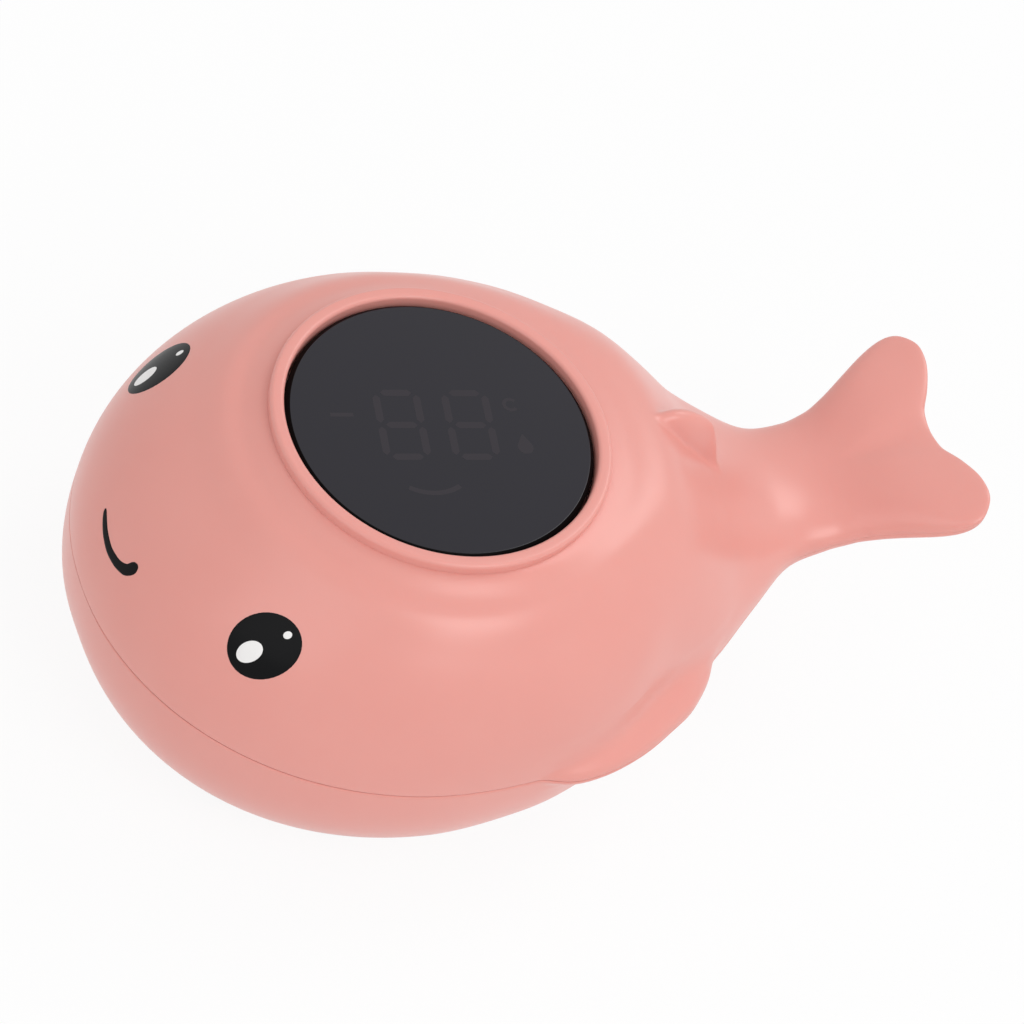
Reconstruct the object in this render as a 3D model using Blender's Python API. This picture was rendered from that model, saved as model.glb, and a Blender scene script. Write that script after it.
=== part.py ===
"""Floating baby bath thermometer in the form of a whale.

The head points to -X, the tail to +X and the display to +Z. The instrument stands on the flat of its
belly, with the origin under the middle of its length. Two moulded shells meet at a seam that runs round
the body. The upper one carries the display, the lower one the cell and the sensors.
"""

import math
from collections import namedtuple

import bmesh
import bpy
import numpy as np
from mathutils import Vector

MM = 0.001

# Fits
SEAT_GAP = 0.30 * MM
SEAM_GAP = 0.30 * MM
EMBED = 1.0 * MM

# Body outline seen from above, measured from the display's axis
HEAD_X = -42.1 * MM
BEAM_X = -0.6 * MM
BEAM_HALF = 38.0 * MM
OUTLINE_POWER = 2.05
TAIL_X = 77.2 * MM

# Heights
SEAM_HEIGHT = 21.0 * MM
DISPLAY_HEIGHT = 47.35 * MM
CROWN_RISE = 30.5 * MM
CROWN_POWER = 1.87
KEEL_DROP = 26.0 * MM
KEEL_X = -2.6 * MM
KEEL_POWER = 2.43
UPPER_SECTION_POWER = 2.26
LOWER_SECTION_POWER = 2.57
WALL = 2.2 * MM

# Body and tail behind the widest section: x and sweep are shares of TAIL_X, half_width of BEAM_HALF,
# crown of CROWN_RISE and keel of KEEL_DROP. Crown and keel are measured from the seam, and sweep is how
# far the edge of a section trails its middle
Section = namedtuple("Section", "x half_width crown keel sweep")
SECTIONS = (
    Section(0.130, 0.979, 0.967, 0.877, 0.0),
    Section(0.246, 0.908, 0.928, 0.746, 0.0),
    Section(0.363, 0.753, 0.866, 0.596, 0.0),
    Section(0.492, 0.616, 0.593, 0.435, 0.0),
    Section(0.622, 0.413, 0.259, 0.265, 0.0),
    Section(0.725, 0.271, 0.151, 0.162, 0.019),
    Section(0.803, 0.266, 0.121, 0.131, 0.008),
    Section(0.868, 0.421, 0.115, 0.104, 0.118),
    Section(1.0, 0.153, 0.072, 0.077, 0.023),
)

# The seam's climb along the tail, as shares of TAIL_X and TAIL_RISE
TAIL_RISE = 21.2 * MM
Climb = namedtuple("Climb", "x rise")
TAIL_CLIMB = (
    Climb(0.531, 0.0),
    Climb(0.596, 0.071),
    Climb(0.700, 0.127),
    Climb(0.803, 0.231),
    Climb(0.907, 0.481),
    Climb(1.010, 0.712),
    Climb(1.114, 1.0),
)
TAIL_EDGE_ROUND = 3.0 * MM
CAVITY_END_X = 0.648 * TAIL_X

# Display
WINDOW_RADIUS = 20.2 * MM
WINDOW_THICKNESS = 2.0 * MM
WINDOW_BEVEL = 0.45 * MM
RING_WIDTH = 1.9 * MM
RING_RISE = 0.9 * MM
RING_ROUND = 0.55 * MM
RING_EDGE_DROP = 0.6 * MM
FLARE_SLOPE = 0.35
FLARE_WIDTH = 9.0 * MM
SEAT_LIP = 2.0 * MM
SEAT_THICKNESS = 1.6 * MM
GASKET_THICKNESS = 0.6 * MM
DISPLAY_TURN = math.radians(-7.0)
CASE_LENGTH = 27.0 * MM
CASE_WIDTH = 21.0 * MM
CASE_HEIGHT = 7.0 * MM
CASE_WALL = 1.2 * MM
DIFFUSER_THICKNESS = 1.2 * MM
SEGMENT_RISE = 0.5 * MM
SEGMENT_WIDTH = 1.0 * MM
DIGIT_WIDTH = 4.6 * MM
DIGIT_HEIGHT = 9.0 * MM
DIGIT_PITCH = 9.2 * MM
DIGIT_SHIFT = 0.35
DIGIT_ROW_Y = 1.5 * MM

# Back fin
FIN_START_X = 0.396 * TAIL_X
FIN_END_X = 0.562 * TAIL_X
FIN_HALF_THICKNESS = 1.7 * MM
FIN_HEIGHT = 5.9 * MM
FIN_PEAK_SHARE = 0.76

# Side flippers
FLIPPER_START_X = 0.065 * TAIL_X
FLIPPER_END_X = 0.512 * TAIL_X
FLIPPER_REACH = 4.8 * MM
FLIPPER_HALF_THICKNESS = 4.0 * MM
FLIPPER_ROOT = 3.0 * MM
# How far it bulges at each place along it, as shares of its length and of its reach
FLIPPER_PLACES = (0.0, 0.24, 0.45, 0.65, 0.785, 0.88, 0.94, 1.0)
FLIPPER_BULGES = (0.0, 0.52, 0.76, 1.0, 0.95, 0.72, 0.48, 0.0)

# Face: places on the left half of the head, measured from the display's axis
EYE_CENTRE = (-28.3 * MM, -22.0 * MM)
EYE_LONG_WAY = (0.786, -0.347, 0.510)
EYE_RADII = (4.95 * MM, 4.15 * MM)
GLINT_LARGE_CENTRE = (-29.9 * MM, -21.9 * MM)
GLINT_LARGE_RADII = (1.85 * MM, 1.35 * MM)
GLINT_SMALL_CENTRE = (-25.9 * MM, -22.6 * MM)
GLINT_SMALL_RADII = (0.60 * MM, 0.50 * MM)
PRINT_THICKNESS = 0.25 * MM
PRINT_GAP = 0.12 * MM
SMILE_HALF_WIDTH = 5.3 * MM
SMILE_LEVEL = 28.6 * MM
SMILE_DIP = 1.4 * MM
SMILE_STROKE = 0.6 * MM

# Cell, door and contacts
CELL_X = -2.8 * MM
CELL_RADIUS = 12.25 * MM
CELL_THICKNESS = 5.0 * MM
CELL_CLEARANCE = 1.0 * MM
CELL_STEP = 0.6 * MM
WELL_WALL = 1.5 * MM
FOOT_CLEARANCE = 0.3 * MM
DOOR_RADIUS = 15.6 * MM
DOOR_THICKNESS = 2.4 * MM
DOOR_CHAMFER = 0.5 * MM
DOOR_CLEARANCE = 0.35 * MM
SPIGOT_HEIGHT = 0.9 * MM
COIN_SLOT_LENGTH = 17.0 * MM
COIN_SLOT_WIDTH = 2.2 * MM
COIN_SLOT_DEPTH = 1.2 * MM
SEAL_CORD = 1.2 * MM
CONTACT_THICKNESS = 0.4 * MM
CONTACT_WIDTH = 4.0 * MM
CONTACT_LEAF = 9.0 * MM
TAB_RISE = 1.2 * MM

# Seal between the shells, in a channel of the lower rim
SEAL_WIDTH = 0.6 * MM
SEAL_HEIGHT = 0.7 * MM

# Sensors in the belly
PROBE_X = -24.6 * MM
PROBE_RADIUS = 3.0 * MM
PROBE_HEIGHT = 6.5 * MM
PROBE_WALL = 0.4 * MM
PROBE_FLANGE = 0.9 * MM
SEAL_SHEET = 0.8 * MM
BEAD_RADIUS = 1.1 * MM
WATER_CONTACT_X = -21.5 * MM
WATER_CONTACT_Y = 11.5 * MM
WATER_CONTACT_RADIUS = 1.9 * MM
WATER_CONTACT_COLLAR = 2.8 * MM
WATER_CONTACT_HEIGHT = 7.0 * MM

# Screws that hold the shells, and their posts
SCREW_PLACES = ((-24.0 * MM, 18.5 * MM), (22.8 * MM, 15.2 * MM))
POST_RADIUS = 4.0 * MM
SCREW_RADIUS = 1.25 * MM
SCREW_HEAD_RADIUS = 2.3 * MM
SCREW_HEAD_HEIGHT = 1.6 * MM
SCREW_LENGTH = 16.0 * MM
SCREW_LEDGE = 12.0 * MM
SCREW_WELL_CLEARANCE = 0.5 * MM
CROSS_WIDTH = 0.7 * MM

# Main board
BOARD_RADIUS = 22.6 * MM
BOARD_THICKNESS = 1.2 * MM
BOARD_SCREW_CIRCLE = 20.2 * MM
BOARD_SCREW_ANGLES = (90.0, 200.0, 340.0)
BOARD_POST_RADIUS = 2.0 * MM
BOARD_SCREW_RADIUS = 0.75 * MM
BOARD_SCREW_HEAD = 1.6 * MM
BOARD_SCREW_HEAD_HEIGHT = 1.0 * MM
BOARD_SCREW_LENGTH = 4.5 * MM
CHIP_SIZE = 7.0 * MM
CHIP_THICKNESS = 1.1 * MM
CHIP_PLACE = (1.0 * MM, -7.0 * MM)

# Leads, with the places where they meet the board
LEAD_RADIUS = 0.6 * MM
RED_LEAD_END = (12.0 * MM, 5.0 * MM)
BLACK_LEAD_END = (-6.0 * MM, 8.0 * MM)
SENSOR_LEAD_END = (-15.0 * MM, -2.0 * MM)
CONTACT_LEAD_END = (-12.0 * MM, 12.5 * MM)

# Facets
TAIL_CROWDING = 1.2
BODY_ROWS = 37
BODY_COLUMNS = 21
CAVITY_ROWS = 18
CAVITY_COLUMNS = 13
DISPLAY_STEPS = 52
ROUND_STEPS = 32
SMALL_ROUND_STEPS = 12
RIM_ROWS = 22
LEAD_STEPS = 9
EYE_STEPS = 20
EYE_RINGS = 3
GLINT_STEPS = 14
SMILE_STEPS = 13

PINK = (0.80, 0.35, 0.30)
BLACK = (0.012, 0.012, 0.014)
WHITE = (0.85, 0.85, 0.84)


class Profile:
    """A smooth curve through a few points that keeps their rises and falls."""

    def __init__(self, xs, ys):
        self.xs = np.array(xs, dtype=float)
        self.ys = np.array(ys, dtype=float)
        widths = np.diff(self.xs)
        slopes = np.diff(self.ys) / widths
        tangents = np.zeros_like(self.xs)
        for i in range(1, len(self.xs) - 1):
            before, after = slopes[i - 1], slopes[i]
            if before * after > 0.0:
                near = 2.0 * widths[i] + widths[i - 1]
                far = widths[i] + 2.0 * widths[i - 1]
                tangents[i] = (near + far) / (near / before + far / after)
        tangents[0] = 0.0
        tangents[-1] = slopes[-1]
        self.tangents = tangents

    def __call__(self, x):
        x = np.clip(x, self.xs[0], self.xs[-1])
        i = np.clip(np.searchsorted(self.xs, x) - 1, 0, len(self.xs) - 2)
        width = self.xs[i + 1] - self.xs[i]
        t = (x - self.xs[i]) / width
        rise = self.ys[i + 1] - self.ys[i]
        start = self.tangents[i] * width
        end = self.tangents[i + 1] * width
        bend = 3.0 * rise - 2.0 * start - end
        return self.ys[i] + t * (start + t * (bend + t * (start + end - 2.0 * rise)))


def section_profile(first_x, first_share, field, whole):
    """The curve of one section size from its first place back to the tail."""
    xs = [first_x] + [s.x * TAIL_X for s in SECTIONS]
    ys = [first_share * whole] + [getattr(s, field) * whole for s in SECTIONS]
    return Profile(xs, ys)


REAR_WIDTH = section_profile(BEAM_X, 1.0, "half_width", BEAM_HALF)
REAR_CROWN = section_profile(0.0, 1.0, "crown", CROWN_RISE)
REAR_KEEL = section_profile(KEEL_X, 1.0, "keel", KEEL_DROP)
SWEEP = section_profile(HEAD_X, 0.0, "sweep", TAIL_X)
CLIMB = Profile([c.x * TAIL_X for c in TAIL_CLIMB], [c.rise * TAIL_RISE for c in TAIL_CLIMB])


def tail_reach():
    """The furthest point of the tail behind the display's axis."""
    xs = np.linspace(SECTIONS[-3].x * TAIL_X, TAIL_X, 200)
    return float(np.max(xs + SWEEP(xs)))


DISPLAY_X = -(HEAD_X + tail_reach()) / 2.0


def dome(share, power):
    """A rounded front's height for a share of the way from its highest point (0) to its tip (1)."""
    share = np.clip(share, 0.0, 1.0)
    return np.maximum(1.0 - share ** power, 0.0) ** (1.0 / power)


def front_and_rear(x, inset, peak_x, peak, power, rear):
    """A size of the body at x: a rounded front up to peak_x, then the curve to the tail."""
    front = (peak - inset) * dome((peak_x - x) / (peak_x - HEAD_X - inset), power)
    return np.where(x < peak_x, front, np.maximum(rear(x) - inset, 0.2 * MM))


def half_width(x, inset=0.0):
    return front_and_rear(x, inset, BEAM_X, BEAM_HALF, OUTLINE_POWER, REAR_WIDTH)


def crown(x, inset=0.0):
    return front_and_rear(x, inset, 0.0, CROWN_RISE, CROWN_POWER, REAR_CROWN)


def keel(x, inset=0.0):
    return front_and_rear(x, inset, KEEL_X, KEEL_DROP, KEEL_POWER, REAR_KEEL)


def seam(x):
    return SEAM_HEIGHT + CLIMB(x)


def ring_radius():
    return WINDOW_RADIUS + SEAT_GAP + RING_WIDTH


def flared(x, y, z):
    """The upper surface near the display: it flares up or down to meet the ring."""
    reach = np.maximum(np.hypot(x, y) - ring_radius(), 0.0)
    collar = DISPLAY_HEIGHT - RING_EDGE_DROP - FLARE_SLOPE * reach
    share = np.clip(reach / FLARE_WIDTH, 0.0, 1.0)
    share = share * share * (3.0 - 2.0 * share)
    return collar * (1.0 - share) + z * share


def upper_height(x, y):
    """Height of the finished upper surface over a point of the body."""
    share = np.clip(np.abs(y) / half_width(x), 0.0, 1.0)
    return flared(x, y, seam(x) + crown(x) * dome(share, UPPER_SECTION_POWER))


def rows_along(first_x, last_x, count):
    """Places of the cross-sections, closer together towards the round front and the tail's edge."""
    front = count // 2
    turn = np.linspace(0.0, math.pi / 2.0, front)
    head = BEAM_X - (BEAM_X - first_x) * np.cos(turn)
    rest = np.linspace(0.0, 1.0, count - front + 1)[1:]
    tail = BEAM_X + (last_x - BEAM_X) * (1.0 - (1.0 - rest) ** TAIL_CROWDING)
    return np.concatenate([head, tail])


def body_grids(side, inset, last_x, rows, columns, lift, flare=True):
    """The outer (or inner) surface of one half, and its flat at the seam, as two grids of points.

    side is 1 for the upper half and -1 for the lower one, and lift is where the seam's flat lies.
    """
    xs = rows_along(HEAD_X + inset, last_x, rows)[:, None]
    t = np.cos(np.linspace(math.pi, 0.0, columns))[None, :]
    power = UPPER_SECTION_POWER if side > 0 else LOWER_SECTION_POWER
    across = half_width(xs, inset) * t
    along = xs + SWEEP(xs) * t * t
    edge = np.clip((xs - (TAIL_X - TAIL_EDGE_ROUND)) / TAIL_EDGE_ROUND, 0.0, 1.0)
    depth = (crown(xs, inset) if side > 0 else keel(xs, inset)) * np.sqrt(1.0 - edge * edge)
    bulge = np.maximum(depth - abs(lift), 0.0) * dome(np.abs(t), power)
    flat = seam(along) + lift
    skin = flat + side * bulge
    if side > 0 and flare:
        skin = np.maximum(flared(along, across, skin), flat)
    across = across + 0.0 * along
    return np.stack([along, across, skin], -1), np.stack([along, across, flat], -1)


def new_object(name, mesh, material=None):
    obj = bpy.data.objects.new(name, mesh)
    bpy.context.scene.collection.objects.link(obj)
    obj.location.x = DISPLAY_X
    if material is not None:
        mesh.materials.append(material)
        for polygon in mesh.polygons:
            polygon.use_smooth = True
        mesh.set_sharp_from_angle(angle=math.radians(35.0))
    return obj


def tool(obj):
    """Mark a solid as one that only cuts or joins another."""
    obj.hide_render = True
    obj.display_type = "WIRE"
    return obj


def mesh_from_grids(name, grids):
    """One closed mesh from grids of points that share their borders."""
    places = {}
    faces = []

    def vertex(point):
        key = tuple(int(round(value / (0.0005 * MM))) for value in point)
        return places.setdefault(key, (len(places), tuple(point)))[0]

    for grid in grids:
        for i in range(grid.shape[0] - 1):
            for j in range(grid.shape[1] - 1):
                corners = (grid[i, j], grid[i + 1, j], grid[i + 1, j + 1], grid[i, j + 1])
                loop = []
                for corner in corners:
                    index = vertex(corner)
                    if index not in loop:
                        loop.append(index)
                if len(loop) > 2:
                    faces.append(loop)
    mesh = bpy.data.meshes.new(name)
    mesh.from_pydata([point for _, point in places.values()], [], faces)
    shape = bmesh.new()
    shape.from_mesh(mesh)
    bmesh.ops.recalc_face_normals(shape, faces=shape.faces)
    shape.to_mesh(mesh)
    shape.free()
    mesh.update()
    return mesh


def turned(name, profile, steps=ROUND_STEPS, centre=(0.0, 0.0)):
    """A turned solid about a vertical axis, from a closed outline of (radius, height) points."""
    outline = np.array(list(profile) + [profile[0]])
    angles = np.linspace(0.0, 2.0 * math.pi, steps + 1)[:, None]
    x = centre[0] + outline[None, :, 0] * np.cos(angles)
    y = centre[1] + outline[None, :, 0] * np.sin(angles)
    z = outline[None, :, 1] + 0.0 * angles
    return mesh_from_grids(name, [np.stack([x, y, z], -1)])


def disc(name, radius, low, high, steps=ROUND_STEPS, centre=(0.0, 0.0), bevel=0.0):
    """A disc or pin, with a bevel on its top edge if one is given."""
    profile = [(0.0, low), (radius, low), (radius, high - bevel)]
    if bevel:
        profile.append((radius - bevel, high))
    else:
        profile[-1] = (radius, high)
    profile.append((0.0, high))
    return turned(name, profile, steps, centre)


def ring(name, inner, outer, low, high, steps=ROUND_STEPS, centre=(0.0, 0.0)):
    return turned(name, [(inner, low), (outer, low), (outer, high), (inner, high)], steps, centre)


def block(name, centre, size, turn=0.0):
    """A box about its centre, turned about the vertical."""
    mesh = bpy.data.meshes.new(name)
    shape = bmesh.new()
    bmesh.ops.create_cube(shape, size=1.0)
    bmesh.ops.scale(shape, vec=Vector(size), verts=shape.verts)
    cos, sin = math.cos(turn), math.sin(turn)
    for vertex in shape.verts:
        x, y = vertex.co.x, vertex.co.y
        vertex.co.x = centre[0] + x * cos - y * sin
        vertex.co.y = centre[1] + x * sin + y * cos
        vertex.co.z += centre[2]
    shape.to_mesh(mesh)
    shape.free()
    return mesh


def apply_tool(obj, mesh, operation, solver="EXACT"):
    """Cut a mesh from an object, or join it to it."""
    helper = tool(new_object(mesh.name, mesh))
    modifier = obj.modifiers.new(mesh.name, "BOOLEAN")
    modifier.operation = operation
    modifier.solver = solver
    modifier.object = helper


def shape_shell(shell, mesh, operation):
    """Cut or join on a shell, whose thin curved walls the exact solver leaves open."""
    apply_tool(shell, mesh, operation, "MANIFOLD")


def material(name, colour, roughness, metallic=0.0):
    shade = bpy.data.materials.new(name)
    shade.use_nodes = True
    shader = shade.node_tree.nodes["Principled BSDF"]
    shader.inputs["Base Color"].default_value = (*colour, 1.0)
    shader.inputs["Roughness"].default_value = roughness
    shader.inputs["Metallic"].default_value = metallic
    shade.diffuse_color = (*colour, 1.0)
    return shade


def flipper_mesh(name, side, hand):
    """The upper (side 1) or lower (-1) half of the flipper on the side of hand."""
    share = np.linspace(0.0, 1.0, 15)
    xs = FLIPPER_START_X + (FLIPPER_END_X - FLIPPER_START_X) * share
    bump = Profile(FLIPPER_PLACES, FLIPPER_BULGES)(share)
    reach = half_width(xs) - EMBED * (1.0 - bump) + FLIPPER_REACH * bump
    thick = FLIPPER_HALF_THICKNESS * (0.35 + 0.65 * bump)
    root = half_width(xs) - FLIPPER_ROOT
    turn = np.linspace(0.0, math.pi / 2.0, 7)
    across = root[:, None] + (reach - root)[:, None] * np.cos(turn)[None, :]
    along = xs[:, None] + 0.0 * across
    flat = seam(along) + side * SEAM_GAP / 2.0
    height = flat + side * thick[:, None] * np.sin(turn)[None, :]
    skin = np.stack([along, hand * across, height], -1)
    base = np.stack([along, hand * across, flat], -1)
    root_wall = np.stack([skin[:, -1], base[:, -1]])
    end_walls = [np.stack([skin[0], base[0]]), np.stack([skin[-1], base[-1]])]
    return mesh_from_grids(name, [skin, base, root_wall] + end_walls)


def fin_mesh(name):
    """The back fin: a thin shark's fin rooted in the crown behind the display."""
    share = np.linspace(0.0, 1.0, 12) ** 0.8
    xs = FIN_START_X + (FIN_END_X - FIN_START_X) * share
    peak = FIN_PEAK_SHARE
    places = [0.0, 0.4 * peak, 0.7 * peak, peak, 0.5 * (1.0 + peak), 1.0]
    rise = Profile(places, [0.0, 0.54, 0.85, 1.0, 0.72, 0.25])(share) * FIN_HEIGHT
    thick = FIN_HALF_THICKNESS * Profile([0.0, 0.45, 1.0], [0.45, 1.0, 0.55])(share)
    ground = upper_height(xs, np.zeros_like(xs)) - EMBED
    turn = np.linspace(0.0, math.pi, 11)
    across = thick[:, None] * np.cos(turn)[None, :]
    along = xs[:, None] + 0.0 * across
    height = ground[:, None] + (rise + EMBED)[:, None] * (np.sin(turn)[None, :] ** 0.8)
    skin = np.stack([along, across, height], -1)
    base = np.stack([along, across, ground[:, None] + 0.0 * along], -1)
    walls = [np.stack([skin[0], base[0]]), np.stack([skin[-1], base[-1]])]
    return mesh_from_grids(name, [skin, base] + walls)


def half_shell(name, side, shade):
    """One body half, hollowed from the seam to the root of the tail."""
    skin, flat = body_grids(side, 0.0, TAIL_X, BODY_ROWS, BODY_COLUMNS, side * SEAM_GAP / 2.0)
    shell = new_object(name, mesh_from_grids(name, [skin, flat]), shade)
    skin, flat = body_grids(side, WALL, CAVITY_END_X, CAVITY_ROWS, CAVITY_COLUMNS, 0.0, flare=False)
    if side < 0:
        skin[:, :, 2] = np.maximum(skin[:, :, 2], WALL)
    else:
        skin[:, :, 2] = np.minimum(skin[:, :, 2], DISPLAY_HEIGHT - RING_EDGE_DROP - 1.3 * WALL)
    flat = flat - side * np.array([0.0, 0.0, EMBED])
    walls = [np.stack([skin[:, 0], flat[:, 0]]), np.stack([skin[:, -1], flat[:, -1]]),
             np.stack([skin[0], flat[0]]), np.stack([skin[-1], flat[-1]])]
    cavity = mesh_from_grids(name + "_cavity", [skin, flat] + walls)
    shape_shell(shell, cavity, "DIFFERENCE")
    return shell


def seat_top():
    """Height of the ledge that carries the window and its gasket."""
    return DISPLAY_HEIGHT - WINDOW_THICKNESS - GASKET_THICKNESS - 2.0 * SEAT_GAP


def case_top():
    return DISPLAY_HEIGHT - WINDOW_THICKNESS - SEAT_GAP


def board_top():
    return case_top() - CASE_HEIGHT - SEAT_GAP


def board_under():
    return board_top() - BOARD_THICKNESS


def board_screw_places():
    turns = [DISPLAY_TURN + math.radians(angle) for angle in BOARD_SCREW_ANGLES]
    return [(BOARD_SCREW_CIRCLE * math.cos(a), BOARD_SCREW_CIRCLE * math.sin(a)) for a in turns]


def shell_screw_places():
    return [(x, hand * y) for x, y in SCREW_PLACES for hand in (-1, 1)]


def lower_height(x, y):
    """Height of the outer lower surface under a point of the body."""
    share = np.clip(np.abs(y) / half_width(x), 0.0, 1.0)
    return seam(x) - keel(x) * dome(share, LOWER_SECTION_POWER)


def outward(x, y, distance):
    """The point of the body's plan that lies further out from its middle by a distance."""
    length = math.hypot(x, y)
    return x * (1.0 + distance / length), y * (1.0 + distance / length)


def rim_loop(inset):
    """The closed outline of a shell's rim at an inset from its outer edge, with its seam heights."""
    last = CAVITY_END_X + WALL - inset
    xs = rows_along(HEAD_X + inset, last, RIM_ROWS)
    ys = half_width(xs, inset)
    near = np.stack([xs, -ys, seam(xs)], -1)
    far = np.stack([xs, ys, seam(xs)], -1)[::-1]
    return np.concatenate([near, far[:-1]])


def rim_band(name, outer_inset, inner_inset, low, high):
    """A band that follows the seam, between two insets and two heights from it."""
    outer, inner = rim_loop(outer_inset), rim_loop(inner_inset)
    rise_low, rise_high = np.array([0.0, 0.0, low]), np.array([0.0, 0.0, high])
    rows = [outer + rise_low, outer + rise_high, inner + rise_high, inner + rise_low, outer + rise_low]
    band = np.stack(rows)
    band = np.concatenate([band, band[:, :1]], axis=1)
    return mesh_from_grids(name, [band])


def well_radius():
    return CELL_RADIUS + CELL_CLEARANCE


def seal_groove_radius():
    return well_radius() + SEAL_CORD + SEAT_GAP


def door_seat_radius():
    return DOOR_RADIUS + DOOR_CLEARANCE


def door_top():
    return FOOT_CLEARANCE + DOOR_THICKNESS


def spigot_top():
    return door_top() + SPIGOT_HEIGHT


def groove_top():
    return door_top() + SEAT_GAP + SEAL_CORD + SEAT_GAP


def cell_low():
    return spigot_top() + SEAT_GAP


def contact_level():
    """Height of the contact leaf above the cell."""
    return cell_low() + CELL_THICKNESS + SEAT_GAP


def well_ceiling():
    return contact_level() + CONTACT_THICKNESS + SEAT_GAP


def tab_top():
    return well_ceiling() + WELL_WALL + TAB_RISE


def make_upper_shell(shade):
    shell = half_shell("upper_shell", 1, shade)
    inner = WINDOW_RADIUS + SEAT_GAP
    outer = ring_radius()
    top = DISPLAY_HEIGHT + RING_RISE
    ledge = seat_top()
    under = ledge - SEAT_THICKNESS
    opening = disc("display_opening", inner + 0.5 * RING_WIDTH, board_top(), top + EMBED, DISPLAY_STEPS)
    shape_shell(shell, opening, "DIFFERENCE")
    corner = RING_ROUND * (1.0 - math.sqrt(0.5))
    profile = [
        (inner - SEAT_LIP, under), (outer, under), (outer, top - RING_ROUND),
        (outer - corner, top - corner), (outer - RING_ROUND, top), (inner + RING_ROUND, top),
        (inner + corner, top - corner), (inner, top - RING_ROUND), (inner, ledge), (inner - SEAT_LIP, ledge),
    ]
    shape_shell(shell, turned("display_ring", profile, DISPLAY_STEPS), "UNION")
    shape_shell(shell, fin_mesh("back_fin"), "UNION")
    for hand, word in ((-1, "left"), (1, "right")):
        shape_shell(shell, flipper_mesh(word + "_flipper_upper", 1, hand), "UNION")
    for number, place in enumerate(board_screw_places(), 1):
        post = disc(f"board_post_{number}", BOARD_POST_RADIUS, board_top() + SEAT_GAP,
                    under + 0.5 * SEAT_THICKNESS, SMALL_ROUND_STEPS, place)
        shape_shell(shell, post, "UNION")
        hole = disc(f"board_post_hole_{number}", BOARD_SCREW_RADIUS + SEAT_GAP, board_top(), under - SEAT_GAP,
                    SMALL_ROUND_STEPS, place)
        shape_shell(shell, hole, "DIFFERENCE")
    for number, (x, y) in enumerate(shell_screw_places(), 1):
        roof = float(upper_height(*outward(x, y, POST_RADIUS))) - 0.5 * WALL
        start = SEAM_HEIGHT + SEAM_GAP / 2.0
        post = disc(f"upper_post_{number}", POST_RADIUS, start, roof, SMALL_ROUND_STEPS, (x, y))
        shape_shell(shell, post, "UNION")
        depth = SCREW_LEDGE + SCREW_LENGTH + SEAT_GAP
        hole = disc(f"upper_post_hole_{number}", SCREW_RADIUS + SEAT_GAP, start - EMBED, depth,
                    SMALL_ROUND_STEPS, (x, y))
        shape_shell(shell, hole, "DIFFERENCE")
    return shell


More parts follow.
